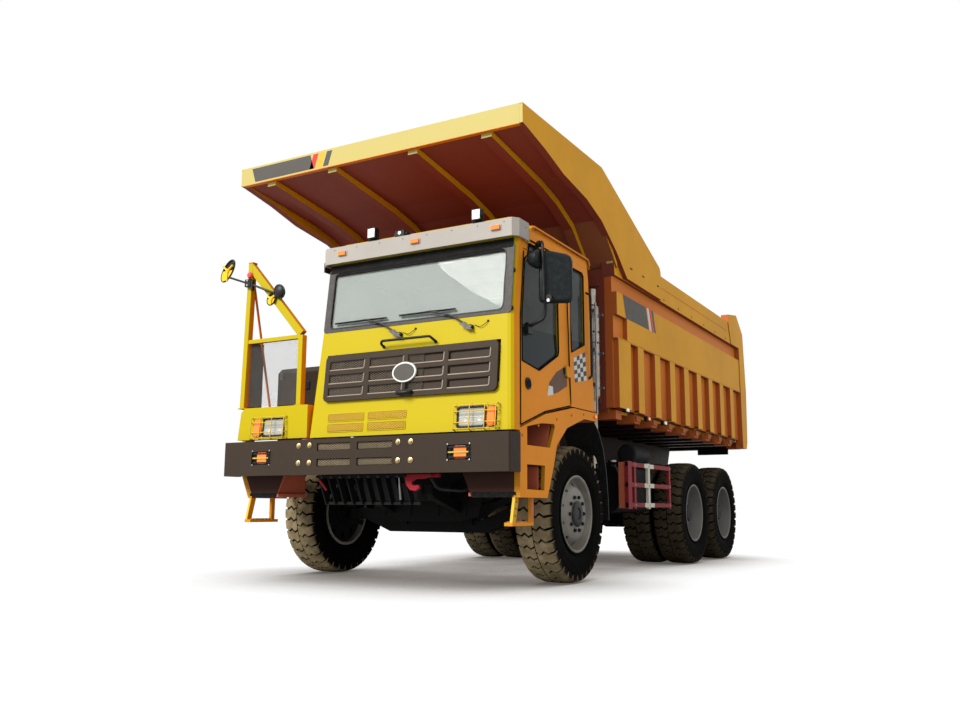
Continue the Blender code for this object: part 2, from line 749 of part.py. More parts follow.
node(
    "deck_rail",
    YELLOW,
    [
        hexa(
            [(-1.585, -1.44, 1.7355), (-1.525, -1.44, 1.7355), (-1.525, -1.37, 1.7355), (-1.585, -1.37, 1.7355)],
            [(-1.548, -1.44, 3.31), (-1.488, -1.44, 3.31), (-1.488, -1.37, 3.31), (-1.548, -1.37, 3.31)],
        ),
        (
            "add",
            box(-0.825, -0.755, -1.44, -1.37, 1.7355, 2.49),
            box(-1.55, -0.79, -1.435, -1.39, 2.45, 2.495),
            hexa(
                [(-1.53, -1.435, 3.20), (-0.825, -1.435, 2.43), (-0.825, -1.375, 2.43), (-1.53, -1.375, 3.20)],
                [(-1.50, -1.435, 3.31), (-0.757, -1.435, 2.505), (-0.757, -1.375, 2.505), (-1.50, -1.375, 3.31)],
            ),
            rod((-1.515, -1.40, 3.10), (-1.515, -0.92, 1.752), 0.013, 6),
            box(-1.54, -0.79, -1.400, -1.392, 1.7455, 2.46),
            box(-1.553, -1.537, -1.39, -1.14, 1.7455, 2.46),
        ),
    ],
)
node(
    "right_mirror",
    (0.75, 0.60, 0.02),
    [
        prism(
            [(-1.889 + 0.131 * math.cos(math.pi * k / 8), 3.27 + 0.131 * math.sin(math.pi * k / 8)) for k in range(16)],
            "y", -1.42, -1.385,
        ),
        (
            "add",
            rod((-1.82, -1.41, 3.20), (-1.48, -1.463, 3.06), 0.012, 6),
            rod((-1.48, -1.463, 3.06), (-1.20, -1.463, 2.95), 0.012, 6),
            prism(
                [(-1.12 + 0.13 * math.cos(math.pi * k / 6), 2.92 + 0.10 * math.sin(math.pi * k / 6)) for k in range(12)],
                "y", -1.48, -1.45,
            ),
            box(-1.555, -1.485, -1.478, -1.4405, 3.04, 3.11),
        ),
    ],
)

# ================= step fenders =================
ARCH = [(-0.763, 0.818), (-0.64, 1.078), (-0.544, 1.317), (-0.31, 1.497), (0.112, 1.62), (0.47, 1.62)]


def fender(s):
    """Outer skin with two openings, treads, hanging step, arch liner and the arm that carries it."""

    def bx(a, b, *rest):
        a, b = sorted((s * a, s * b))
        return box(a, b, *rest)

    def px(profile, a, b):
        a, b = sorted((s * a, s * b))
        return prism(profile, "x", a, b)

    top = [(0.47, 1.708), (-0.15, 1.708), (-0.80, 1.588), (-1.315, 1.424)]
    knee = 1.078
    foot = 1.60 if s > 0 else 1.50
    skin = px([(-1.315, 0.818 if s > 0 else knee), *(ARCH if s > 0 else ARCH[1:]), *top], 1.605, 1.642)
    lean = hexa(
        [(s * 1.490, -1.315, 0.818), (s * 1.527, -1.315, 0.818), (s * 1.527, -0.763, 0.818), (s * 1.490, -0.763, 0.818)],
        [(s * 1.605, -1.315, knee + 0.004), (s * 1.642, -1.315, knee + 0.004), (s * 1.642, -0.640, knee + 0.004), (s * 1.605, -0.640, knee + 0.004)],
    )
    upper = px([(-1.175, 1.28), (-0.705, 1.282), (-0.59, 1.485), (-0.61, 1.512), (-0.88, 1.497), (-1.10, 1.46), (-1.175, 1.445)], 1.5, 1.7)
    lower = px([(-1.178, 0.89), (-0.832, 0.885), (-0.812, 1.112), (-1.178, 1.11)], 1.46, 1.7)
    liner = px([(-0.544, 1.317), (-0.31, 1.497), (0.112, 1.62), (0.47, 1.62), (0.47, 1.645), (0.105, 1.645), (-0.325, 1.522), (-0.565, 1.337)], 1.12, 1.62)
    return [
        skin,
        (
            "add",
            liner,
            bx(1.12, 1.62, 0.445, 0.47, 1.62, 1.684),
            bx(1.15, 1.62, -1.31, -0.86, 1.24, 1.27),
            *([] if s > 0 else [lean]),
            bx(1.12, 1.61 if s > 0 else 1.53, -1.31, -0.87, 0.83, 0.86),
            hexa(
                [(s * 1.15, -1.312, 0.825), (s * (foot + 0.01), -1.312, 0.825), (s * (foot + 0.01), -1.292, 0.825), (s * 1.15, -1.292, 0.825)],
                [(s * 1.04, -1.312, 1.08), (s * 1.62, -1.312, 1.08), (s * 1.62, -1.292, 1.08), (s * 1.04, -1.292, 1.08)],
            ),
            bx(1.04, 1.62, -1.312, -1.292, 1.06, 1.395),
            bx(1.15, 1.18, -1.31, -0.87, 0.84, 1.27),
            bx(RAIL_OUT + GAP, 1.17, -1.06, -0.98, 1.06, 1.14),
            bx(1.12, 1.17, -1.06, -0.98, 1.06, 1.70 - 0.10),
            px([(-1.06, 1.50), (-0.30, 1.505), (-0.20, 1.55), (-0.30, 1.55), (-1.06, 1.60)], 1.12, 1.16),
            bx(foot - 0.08, foot, -1.38, -0.97, 0.572, 0.602),
            hexa(
                [(s * (foot - 0.03), -1.38, 0.58), (s * foot, -1.38, 0.58), (s * foot, -1.32, 0.58), (s * (foot - 0.03), -1.32, 0.58)],
                [(s * (foot - 0.03), -1.314, 0.85), (s * foot, -1.314, 0.85), (s * foot, -1.25, 0.85), (s * (foot - 0.03), -1.25, 0.85)],
            ),
            bx(foot - 0.03, foot, -1.02, -0.97, 0.58, 0.85),
        ),
        ("cut", upper, lower),
    ]


node("left_step_fender", YELLOW, fender(1))
node("right_step_fender", YELLOW, fender(-1))

# ================= behind the cab and below the bed =================
STACK = (1.47, 0.775)
node(
    "exhaust_stack",
    SILVER,
    [
        rod((STACK[0], STACK[1], 1.90), (STACK[0], STACK[1], 2.95), 0.083, 20),
        (
            "add",
            rod((STACK[0], STACK[1], 2.90), (STACK[0], STACK[1], 3.15), 0.052, 16),
            rod((STACK[0], STACK[1], 1.15), (STACK[0], STACK[1], 1.92), 0.045, 12),
            box(RAIL_OUT + GAP, STACK[0] + 0.04, STACK[1] - 0.035, STACK[1] + 0.035, 1.12, 1.20),
        ),
    ],
    rough=0.25,
    metal=1.0,
)


def tank(s):
    a, b = sorted((s * 0.78, s * 1.44))
    c, d = sorted((s * (RAIL_OUT + GAP), s * 0.80))
    r = 0.10
    mid = (a + b) / 2
    half = (b - a) / 2
    outline = []
    for cx, cz, start in ((half - r, 0.68 + r, 270), (half - r, 1.22 - r, 0), (-half + r, 1.22 - r, 90), (-half + r, 0.68 + r, 180)):
        for step in (0, 45, 90):
            t = math.radians(start + step)
            outline.append((mid + cx + r * math.cos(t), cz + r * math.sin(t)))
    return [
        prism(outline, "y", 1.55, 2.70),
        ("add", box(c, d, 1.75, 1.85, 1.00, 1.10), box(c, d, 2.45, 2.55, 1.00, 1.10)),
    ]


node("fuel_tank", GREY, tank(1))
node("hydraulic_tank", GREY, tank(-1))


def guard(s):
    """Open side guard: three rails between posts, on two arms from the frame."""

    def bx(a, b, *rest):
        a, b = sorted((s * a, s * b))
        return box(a, b, *rest)

    rails = [bx(1.585, 1.615, 1.40, 2.94, z, z + 0.05) for z in (0.74, 0.97, 1.20)]
    posts = [bx(1.578, 1.612, y, y + 0.06, 0.72, 1.26) for y in (1.62, 2.10, 2.88)]
    arms = [bx(RAIL_OUT + GAP, 1.60, y, y + 0.06, 1.225, 1.2495) for y in (1.44, 2.74)]
    return [rails[0], ("add", *rails[1:], *posts, *arms, bx(1.575, 1.62, 1.40, 1.52, 0.72, 1.26))]


node("side_guard_left", (0.75, 0.75, 0.73), guard(1))
node("side_guard_right", (0.75, 0.75, 0.73), guard(-1))

# ================= bed =================
BED_ORIGIN = (0.0, HINGE_Y, HINGE_Z)
beams, bed_bores = [], []
for s in (-1, 1):
    a, b = sorted((s * 0.450, s * 0.528))
    beams.append(
        prism(
            [(1.20, 1.40), (1.35, 1.262), (5.70, 1.262), (5.82, 1.18), (6.05, 1.18), (6.12, 1.30), (6.30, 1.66), (6.30, 1.79), (1.20, 1.79)],
            "x", a, b,
        )
    )
    bed_bores.append(rod((s * 0.40, HINGE_Y, HINGE_Z), (s * 0.60, HINGE_Y, HINGE_Z), 0.045, 12))
crossers = [box(-1.64, 1.64, y - 0.085, y + 0.085, 1.70, 1.80) for y in (1.09, *RIB_Y)]
node(
    "bed_floor",
    YELLOW,
    [
        box(-1.555, 1.555, 0.985, 6.66, 1.785, FLOOR_Z),
        ("add", *beams, *crossers, box(-1.60, 1.60, 6.50, 6.68, 1.69, 1.80)),
        ("cut", *bed_bores),
    ],
    origin=BED_ORIGIN,
)


def bed_side(s):
    def bx(a, b, *rest):
        a, b = sorted((s * a, s * b))
        return box(a, b, *rest)

    def px(profile, a, b):
        a, b = sorted((s * a, s * b))
        return prism(profile, "x", a, b)

    low = FLOOR_Z + GAP
    plate = px(
        [(0.93, low), (6.50, low), (6.60, 2.6), (6.60, 3.55), (6.29, 3.80), (5.80, 3.72), (5.76, 3.60), (2.425, 3.60), (2.425, 3.315), (0.93, 3.315)],
        BED_IN, PANEL_X,
    )
    middle = px([(0.93, 2.588), (6.50, 2.588), (6.50, 3.12), (0.93, 3.12)], PANEL_X - 0.02, BED_X)
    rail = px([(2.425, 3.317), (5.95, 3.317), (5.95, 3.649), (2.425, 3.649)], PANEL_X - 0.03, BED_X)
    ribs = [bx(PANEL_X - 0.02, BED_X, y - RIB_W / 2, y + RIB_W / 2, low, 2.60) for y in RIB_Y]
    corner = bx(PANEL_X - 0.02, BED_X, 0.96, 1.34, low, 2.60)
    post = px(
        [(6.40, 1.69), (6.64, 1.69), (6.70, 1.80), (BED_REAR, 2.62), (6.66, 3.59), (6.29, 3.85), (5.77, 3.77), (5.77, 3.649), (5.90, 3.317), (6.38, 3.317)],
        1.605, BED_X + 0.012,
    )
    recess = px([(0.85, 2.60), (1.24, 2.60), (1.24, 2.86), (0.85, 2.86)], PANEL_X + 0.012, BED_X + 0.1)
    return [plate, ("add", middle, rail, *ribs, corner, post), ("cut", recess)]


node("bed_side_left", YELLOW, bed_side(1), origin=BED_ORIGIN)
node("bed_side_right", YELLOW, bed_side(-1), origin=BED_ORIGIN)
node(
    "bed_front_wall",
    YELLOW,
    [
        box(-BED_IN + GAP, BED_IN - GAP, 0.93, 0.985 - GAP, 1.7905, 3.3995),
        (
            "add",
            *[box(-1.50, 1.50, 0.90, 0.94, z, z + 0.10) for z in (1.86, 2.20, 2.54, 2.88, 3.20)],
        ),
    ],
    origin=BED_ORIGIN,
)
ROOF_LINE = [(-1.42, 4.212), (-0.30, 4.075), (0.10, 3.99), (0.50, 3.83), (0.985, 3.40)]
canopy_plate = prism(
    [*ROOF_LINE, (0.985, 3.46), (0.53, 3.885), (0.12, 4.045), (-0.29, 4.13), (-1.42, 4.262)], "x", -1.70, 1.70
)
PANEL = [
    (-1.42, 4.20), (-1.37, 4.195), (-0.94, 4.11), (-0.52, 4.00), (0.06, 3.92), (0.46, 3.80), (0.89, 3.56), (1.21, 3.325), (2.42, 3.32),
    (2.42, 3.668), (2.382, 3.727), (0.491, 4.415), (-1.42, 4.392),
]
canopy_ribs = []
for x in (-1.33, -0.50, 0.50, 1.33):
    canopy_ribs.append(
        prism(
            [(-1.377, 4.150), (-0.30, 4.00), (0.08, 3.91), (0.46, 3.76), (0.90, 3.395), (0.96, 3.42), (0.50, 3.86), (0.10, 4.02), (-0.30, 4.10), (-1.377, 4.23)],
            "x", x - 0.055, x + 0.055,
        )
    )
node(
    "canopy",
    YELLOW,
    [
        canopy_plate,
        (
            "add",
            prism(PANEL, "x", 1.66, CANOPY_X),
            prism(PANEL, "x", -CANOPY_X, -1.66),
            box(-1.70, 1.70, -1.421, -1.375, 4.193, 4.392),
            *canopy_ribs,
            *[
                prism([(0.935, 3.3175), (1.21, 3.3175), (2.42, 3.32), (2.42, 3.64), (1.50, 3.64), (0.90, 3.50)], "x", *sorted((s * 1.60, s * 1.68)))
                for s in (-1, 1)
            ],
        ),
    ],
    origin=BED_ORIGIN,
)

# ================= hoists =================
DY, DZ = HOIST_B[0] - HOIST_P[0], HOIST_B[1] - HOIST_P[1]
LENGTH = math.hypot(DY, DZ)
UY, UZ = DY / LENGTH, DZ / LENGTH


def along(x, d):
    return (x, HOIST_P[0] + UY * d, HOIST_P[1] + UZ * d)


for side, s in (("left", 1), ("right", -1)):
    x = s * HOIST_X
    node(
        f"hoist_barrel_{side}",
        (0.08, 0.08, 0.08),
        [
            rod(along(x, 0.05), along(x, 1.36), 0.072, 12),
            (
                "add",
                rod((x - 0.05, *HOIST_P), (x + 0.05, *HOIST_P), 0.062, 12),
            ),
            (
                "cut",
                rod((x - 0.2, *HOIST_P), (x + 0.2, *HOIST_P), 0.0335, 12),
                rod(along(x, 0.12), along(x, 1.50), 0.048, 12),
            ),
        ],
        origin=(x, *HOIST_P),
    )
    node(
        f"hoist_rod_{side}",
        SILVER,
        [
            rod(along(x, 0.14), along(x, LENGTH - 0.02), 0.042, 12),
            ("add", rod((x - 0.05, *HOIST_B), (x + 0.05, *HOIST_B), 0.062, 12)),
        ],
        origin=(x, *HOIST_B),
        rough=0.2,
        metal=1.0,
    )

# ================= wheels =================
R = TYRE_VERTEX_R


def tyre_outline(outer, width, s):
    """Closed tyre section between its two bead seats, from the outer sidewall inwards."""
    a, b = outer, outer - width
    section = [
        (a - 0.02, RIM_R), (a, RIM_R + 0.13), (a - 0.008, R - 0.075), (a - 0.05, R),
        (b + 0.05, R), (b + 0.008, R - 0.075), (b, RIM_R + 0.13), (b + 0.02, RIM_R),
    ]
    return [(s * x, r) for x, r in section]


for side, s in (("left", 1), ("right", -1)):
    y = AXLES[0]
    node(
        f"front_tyre_{side}",
        RUBBER,
        [turned(tyre_outline(FRONT_FACE, TYRE_W, s), y, TYRE_R)],
        origin=(s * (FRONT_FACE - TYRE_W / 2), y, TYRE_R),
        rough=0.9,
        smooth=True,
    )
    f = FRONT_FACE
    rim = [
        (f - 0.385 + 0.02, RIM_R - 0.0005), (f - 0.02, RIM_R - 0.0005), (f - 0.02, RIM_R - 0.03), (f - 0.10, 0.335), (f - 0.02, 0.245), (f - 0.02, 0.14),
        (f + 0.0, 0.125), (f + 0.0, 0.0), (f - 0.10, 0.0), (f - 0.10, 0.058), (f - 0.365, 0.058), (f - 0.365, 0.15), (f - 0.14, 0.16), (f - 0.15, 0.31), (f - 0.365, 0.335),
    ]
    node(
        f"front_rim_{side}",
        SILVER,
        [turned([(s * x, r) for x, r in rim], y, TYRE_R)],
        origin=(s * (FRONT_FACE - TYRE_W / 2), y, TYRE_R),
        rough=0.4,
        smooth=True,
    )
    for place, y in (("mid", AXLES[1]), ("rear", AXLES[2])):
        a = REAR_FACE
        c = a - TWIN_PITCH
        outline = [
            (a - 0.03, RIM_R), (a, RIM_R + 0.13), (a - 0.008, R - 0.075), (a - 0.05, R),
            (a - 0.335, R), (a - 0.377, R - 0.075), (a - 0.385, RIM_R + 0.13), (a - 0.37, RIM_R + 0.02),
            (c - 0.015, RIM_R + 0.02), (c, RIM_R + 0.13), (c - 0.008, R - 0.075), (c - 0.05, R),
            (c - 0.335, R), (c - 0.377, R - 0.075), (c - 0.385, RIM_R + 0.13), (c - 0.355, RIM_R - 0.02),
            (c - 0.08, 0.30), (c - 0.05, 0.068), (a - 0.10, 0.068), (a - 0.10, 0.0),
            (a - 0.06, 0.0), (a - 0.06, 0.13), (a - 0.22, 0.17), (a - 0.26, 0.31), (a - 0.03, RIM_R - 0.02),
        ]
        node(
            f"{place}_wheel_{side}",
            RUBBER,
            [turned([(s * x, r) for x, r in outline], y, TYRE_R)],
            origin=(s * (a - 0.4075), y, TYRE_R),
            rough=0.9,
            smooth=True,
        )
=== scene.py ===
"""Looks of the mining dump truck over its CAD frame: materials, tread, lamps, grilles, trim, camera and light."""
import json
import math

import bmesh
import bpy
import numpy as np
from mathutils import Matrix, Vector


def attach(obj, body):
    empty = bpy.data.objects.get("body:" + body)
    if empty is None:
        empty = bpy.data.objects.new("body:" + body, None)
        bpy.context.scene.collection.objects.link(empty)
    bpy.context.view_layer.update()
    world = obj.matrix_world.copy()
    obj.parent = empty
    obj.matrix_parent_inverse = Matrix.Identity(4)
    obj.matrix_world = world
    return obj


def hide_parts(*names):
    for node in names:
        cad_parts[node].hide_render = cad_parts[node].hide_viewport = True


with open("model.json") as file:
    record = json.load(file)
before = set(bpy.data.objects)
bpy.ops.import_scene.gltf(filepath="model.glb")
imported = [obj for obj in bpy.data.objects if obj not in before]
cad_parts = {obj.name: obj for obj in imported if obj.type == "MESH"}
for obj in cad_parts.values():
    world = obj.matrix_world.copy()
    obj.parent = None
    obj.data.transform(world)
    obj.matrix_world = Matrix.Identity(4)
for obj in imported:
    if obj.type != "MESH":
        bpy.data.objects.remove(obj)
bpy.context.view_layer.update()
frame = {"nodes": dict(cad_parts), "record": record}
S = 2.603  # stations are written from the front axle
NODES = frame["nodes"]
SLOTS = {m["slot"] for m in frame["record"]["materials"]}


# ------------------------------------------------------------------ materials
def mat(name):
    m = bpy.data.materials.new(name)
    m.use_nodes = True
    t = m.node_tree
    return m, t, t.nodes["Principled BSDF"]


def link(t, a, b):
    t.links.new(a, b)


def noise(t, scale, detail=5.0, rough=0.6, coord=None):
    tc = coord or t.nodes.new("ShaderNodeTexCoord").outputs["Object"]
    n = t.nodes.new("ShaderNodeTexNoise")
    n.inputs["Scale"].default_value = scale
    n.inputs["Detail"].default_value = detail
    n.inputs["Roughness"].default_value = rough
    link(t, tc, n.inputs["Vector"])
    return n.outputs["Fac"]


def ramp(t, fac, stops):
    r = t.nodes.new("ShaderNodeValToRGB")
    while len(r.color_ramp.elements) < len(stops):
        r.color_ramp.elements.new(0.5)
    for e, (p, c) in zip(r.color_ramp.elements, stops):
        e.position = p
        e.color = (*c, 1.0) if len(c) == 3 else c
    link(t, fac, r.inputs["Fac"])
    return r.outputs["Color"]


def mixc(t, fac, a, b, mode="MIX"):
    m = t.nodes.new("ShaderNodeMix")
    m.data_type = "RGBA"
    m.blend_type = mode
    for sock, v in ((m.inputs["Factor"], fac), (m.inputs["A"], a), (m.inputs["B"], b)):
        pass
    ins = [i for i in m.inputs if i.enabled]
    for i, v in zip(ins, (fac, a, b)):
        if hasattr(v, "links"):
            link(t, v, i)
        elif isinstance(v, (int, float)):
            i.default_value = v
        else:
            i.default_value = (*v, 1.0)
    return [o for o in m.outputs if o.enabled][0]


def math_node(t, op, a, b=0.0, clamp=False):
    m = t.nodes.new("ShaderNodeMath")
    m.operation = op
    m.use_clamp = clamp
    for i, v in zip(m.inputs, (a, b)):
        if hasattr(v, "links"):
            link(t, v, i)
        else:
            i.default_value = v
    return m.outputs[0]


def bump(t, bsdf, height, strength=0.1, distance=0.002):
    b = t.nodes.new("ShaderNodeBump")
    b.inputs["Strength"].default_value = strength
    b.inputs["Distance"].default_value = distance
    link(t, height, b.inputs["Height"])
    link(t, b.outputs["Normal"], bsdf.inputs["Normal"])


def paint(name, rgb, dust=(0.30, 0.22, 0.13), amount=0.5, rough=0.36, coat=0.0, metal=0.0, vary=0.12, peel=0.05, spec=0.1, front_lighting=None, under_shade=None):
    """Sprayed enamel: slow colour drift, dust that gathers on upward faces, fine scuffs and orange peel."""
    m, t, b = mat(name)
    slow = noise(t, 0.9, 6)
    fine = noise(t, 14.0, 8, 0.7)
    dark = tuple(c * (1 - vary) for c in rgb)
    base = mixc(t, ramp(t, slow, ((0.38, (0, 0, 0)), (0.64, (1, 1, 1)))), rgb, dark)
    geo = t.nodes.new("ShaderNodeNewGeometry")
    sep = t.nodes.new("ShaderNodeSeparateXYZ")
    link(t, geo.outputs["Normal"], sep.inputs[0])
    if front_lighting:
        # painted light and shade by face direction: faces turned to the front take a given front colour, lemon on the
        # cab as if sunlit, and faces turned down a dark red as painted shade
        base = mixc(t, ramp(t, math_node(t, "MULTIPLY", sep.outputs["Y"], -1.0), ((0.25, (0, 0, 0)), (0.75, (1, 1, 1)))), base, front_lighting)
        base = mixc(t, ramp(t, math_node(t, "MULTIPLY", sep.outputs["Z"], -1.0), ((0.35, (0, 0, 0)), (0.80, (1, 1, 1)))), base, under_shade)
    up = ramp(t, sep.outputs["Z"], ((0.35, (0, 0, 0)), (0.95, (1, 1, 1))))
    spots = ramp(t, fine, ((0.50, (0, 0, 0)), (0.78, (1, 1, 1))))
    up2 = math_node(t, "MULTIPLY", up, amount * 0.6)
    sp2 = math_node(t, "MULTIPLY", spots, amount * 0.16)
    total = math_node(t, "ADD", up2, sp2, clamp=True)
    col = mixc(t, total, base, dust)
    link(t, col, b.inputs["Base Color"])
    r = math_node(t, "MULTIPLY", fine, 0.30)
    r2 = math_node(t, "ADD", r, rough - 0.12)
    r3 = math_node(t, "ADD", r2, math_node(t, "MULTIPLY", total, 0.4), clamp=True)
    link(t, r3, b.inputs["Roughness"])
    b.inputs["Metallic"].default_value = metal
    b.inputs["Coat Weight"].default_value = coat
    b.inputs["Coat Roughness"].default_value = 0.12
    b.inputs["Specular IOR Level"].default_value = spec
    bump(t, b, noise(t, 220.0, 3), peel, 0.001)
    return m


def rubber(name, rgb, dust, amount, flank=None):
    m, t, b = mat(name)
    n = noise(t, 9.0, 8, 0.65)
    f = ramp(t, n, ((0.35, (0, 0, 0)), (0.70, (1, 1, 1))))
    col = mixc(t, math_node(t, "MULTIPLY", f, amount), rgb, dust)
    if flank:
        far = t.nodes.new("ShaderNodeSeparateXYZ")
        link(t, t.nodes.new("ShaderNodeNewGeometry").outputs["Position"], far.inputs[0])
        # painted shade: the tread of the tyres more than 1.2 m behind the front axle, under the body, is painted near
        # black
        col = mixc(t, math_node(t, "MULTIPLY", math_node(t, "GREATER_THAN", far.outputs["Y"], 1.2 - S), 0.72), col, (0.010, 0.008, 0.006))
        sep = t.nodes.new("ShaderNodeSeparateXYZ")
        link(t, t.nodes.new("ShaderNodeNewGeometry").outputs["Normal"], sep.inputs[0])
        col = mixc(t, ramp(t, math_node(t, "ABSOLUTE", sep.outputs["X"]), ((0.45, (0, 0, 0)), (0.72, (1, 1, 1)))), col, flank)
    link(t, col, b.inputs["Base Color"])
    b.inputs["Roughness"].default_value = 0.88
    b.inputs["Specular IOR Level"].default_value = 0.04
    bump(t, b, noise(t, 130.0, 5, 0.7), 0.35, 0.002)
    return m


def metal(name, rgb, rough=0.3, vary=0.3, scratch=0.12):
    m, t, b = mat(name)
    n = noise(t, 11.0, 8, 0.7)
    col = mixc(t, ramp(t, n, ((0.4, (0, 0, 0)), (0.75, (1, 1, 1)))), rgb, tuple(c * (1 - vary) for c in rgb))
    link(t, col, b.inputs["Base Color"])
    b.inputs["Metallic"].default_value = 1.0
    link(t, math_node(t, "ADD", math_node(t, "MULTIPLY", n, 0.35), rough - 0.15, clamp=True), b.inputs["Roughness"])
    bump(t, b, noise(t, 90.0, 6, 0.75), scratch, 0.001)
    return m


def plastic(name, rgb, rough=0.45, grain=0.12):
    m, t, b = mat(name)
    n = noise(t, 25.0, 6)
    col = mixc(t, ramp(t, n, ((0.45, (0, 0, 0)), (0.8, (1, 1, 1)))), rgb, tuple(min(1, c * 1.5 + 0.008) for c in rgb))
    link(t, col, b.inputs["Base Color"])
    b.inputs["Roughness"].default_value = rough
    b.inputs["Specular IOR Level"].default_value = 0.15
    bump(t, b, noise(t, 400.0, 2), grain, 0.001)
    return m


def glass(name, rgb, alpha=0.35, rough=0.03, dirt=0.06, low=None):
    """A thin pane: tinted, dusty, seen through by its alpha."""
    m, t, b = mat(name)
    n = noise(t, 3.0, 7)
    col = mixc(t, math_node(t, "MULTIPLY", n, dirt * 3), rgb, (0.55, 0.54, 0.50))
    fac = math_node(t, "ADD", math_node(t, "MULTIPLY", n, dirt), alpha - dirt / 2, clamp=True)
    if low:
        # painted shade: below a sloping line the pane is painted dark and almost opaque, for the shaded cab inside seen
        # through it
        sep = t.nodes.new("ShaderNodeSeparateXYZ")
        link(t, t.nodes.new("ShaderNodeTexCoord").outputs["Object"], sep.inputs[0])
        edge = math_node(t, "LESS_THAN", math_node(t, "ADD", sep.outputs["Z"], math_node(t, "MULTIPLY", sep.outputs["Y"], -low[1])), low[0])
        fac = math_node(t, "MAXIMUM", fac, math_node(t, "MULTIPLY", edge, 0.97))
        col = mixc(t, edge, col, (0.012, 0.019, 0.022))
    link(t, col, b.inputs["Base Color"])
    link(t, fac, b.inputs["Alpha"])
    link(t, math_node(t, "MULTIPLY", n, rough * 2), b.inputs["Roughness"])
    b.inputs["Coat Weight"].default_value = 0.03
    b.inputs["Coat Roughness"].default_value = 0.02
    b.inputs["Specular IOR Level"].default_value = 0.05 if low else 0.12
    return m


def lens(name, rgb, scale=60.0, emit=0.0):
    """A moulded lamp lens with a fluted pattern."""
    m, t, b = mat(name)
    tc = t.nodes.new("ShaderNodeTexCoord")
    w = t.nodes.new("ShaderNodeTexWave")
    w.inputs["Scale"].default_value = scale
    link(t, tc.outputs["Object"], w.inputs["Vector"])
    col = mixc(t, w.outputs["Fac"], rgb, tuple(min(1, c * 1.25) for c in rgb))
    link(t, col, b.inputs["Base Color"])
    b.inputs["Roughness"].default_value = 0.12
    b.inputs["Coat Weight"].default_value = 1.0
    b.inputs["Coat Roughness"].default_value = 0.03
    bump(t, b, w.outputs["Fac"], 0.4, 0.002)
    return m


def weave(name, rgb):
    m, t, b = mat(name)
    tc = t.nodes.new("ShaderNodeTexCoord")
    waves = []
    for axis in ("X", "Z"):
        w = t.nodes.new("ShaderNodeTexWave")
        w.bands_direction = axis
        w.inputs["Scale"].default_value = 160.0
        link(t, tc.outputs["Object"], w.inputs["Vector"])
        waves.append(w.outputs["Fac"])
    f = math_node(t, "MULTIPLY", *waves)
    col = mixc(t, f, tuple(c * 0.7 for c in rgb), rgb)
    link(t, col, b.inputs["Base Color"])
    b.inputs["Roughness"].default_value = 0.9
    b.inputs["Sheen Weight"].default_value = 0.3
    bump(t, b, f, 0.4, 0.002)
    return m


YEL = (0.615, 0.208, 0.002)
# painted light: the lemon of faces turned to the front; painted shade: the dark red of faces turned down
FRONT_LIGHTING = (0.335, 0.262, 0.0)
UNDER_SHADE = (0.17, 0.034, 0.022)


def lined(name, rgb, fender=False):
    """Cab enamel outside and light lining inside, told apart by where the point lies."""
    m = paint(name, rgb, amount=0.10, rough=0.45, front_lighting=(0.40, 0.17, 0.008) if fender else FRONT_LIGHTING, under_shade=UNDER_SHADE)
    t = m.node_tree
    b = t.nodes["Principled BSDF"]
    outer = b.inputs["Base Color"].links[0].from_socket
    tc = t.nodes.new("ShaderNodeTexCoord").outputs["Object"]
    sep = t.nodes.new("ShaderNodeSeparateXYZ")
    link(t, tc, sep.inputs[0])
    x, y, z = sep.outputs

    def along_z(slope, at_140):
        return math_node(t, "ADD", math_node(t, "MULTIPLY", z, slope), at_140 - slope * 1.40)

    if fender:
        # painted shade: inside the step boxes the enamel is painted red, and near black below the lower tread
        a = math_node(t, "ABSOLUTE", x)
        low = math_node(t, "LESS_THAN", z, 1.07)
        right = math_node(t, "LESS_THAN", x, 0.0)
        edge = math_node(t, "ADD", math_node(t, "MULTIPLY", math_node(t, "MULTIPLY", right, low), math_node(t, "MULTIPLY", math_node(t, "SUBTRACT", z, 1.078), 0.44)), 1.6035)
        inside = math_node(t, "MULTIPLY", math_node(t, "LESS_THAN", a, edge), math_node(t, "GREATER_THAN", z, 0.822))
        behind = math_node(t, "GREATER_THAN", y, -1.3115 - S)
        front = math_node(t, "MULTIPLY", math_node(t, "SUBTRACT", 1.0, behind), inside)
        col = mixc(t, math_node(t, "MULTIPLY", inside, behind), outer, (0.42, 0.105, 0.060))
        col = mixc(t, math_node(t, "MULTIPLY", front, math_node(t, "LESS_THAN", a, math_node(t, "SUBTRACT", edge, 0.02))), col, (0.028, 0.009, 0.006))
        link(t, col, b.inputs["Base Color"])
        return m
    tests = [
        math_node(t, "GREATER_THAN", x, along_z(0.0374, -0.65 + 0.032)),
        math_node(t, "LESS_THAN", x, along_z(-0.0287, 1.65 - 0.042)),
        math_node(t, "GREATER_THAN", y, along_z(0.1006, -1.45 - S + 0.032)),
        math_node(t, "LESS_THAN", y, along_z(-0.0259, 0.445 - S)),
        math_node(t, "LESS_THAN", z, 3.385),
        math_node(t, "GREATER_THAN", z, 1.79),
    ]
    inside = tests[0]
    for more in tests[1:]:
        inside = math_node(t, "MULTIPLY", inside, more)
    link(t, mixc(t, inside, outer, (0.33, 0.34, 0.33)), b.inputs["Base Color"])
    return m


RECESS_X = 1.66


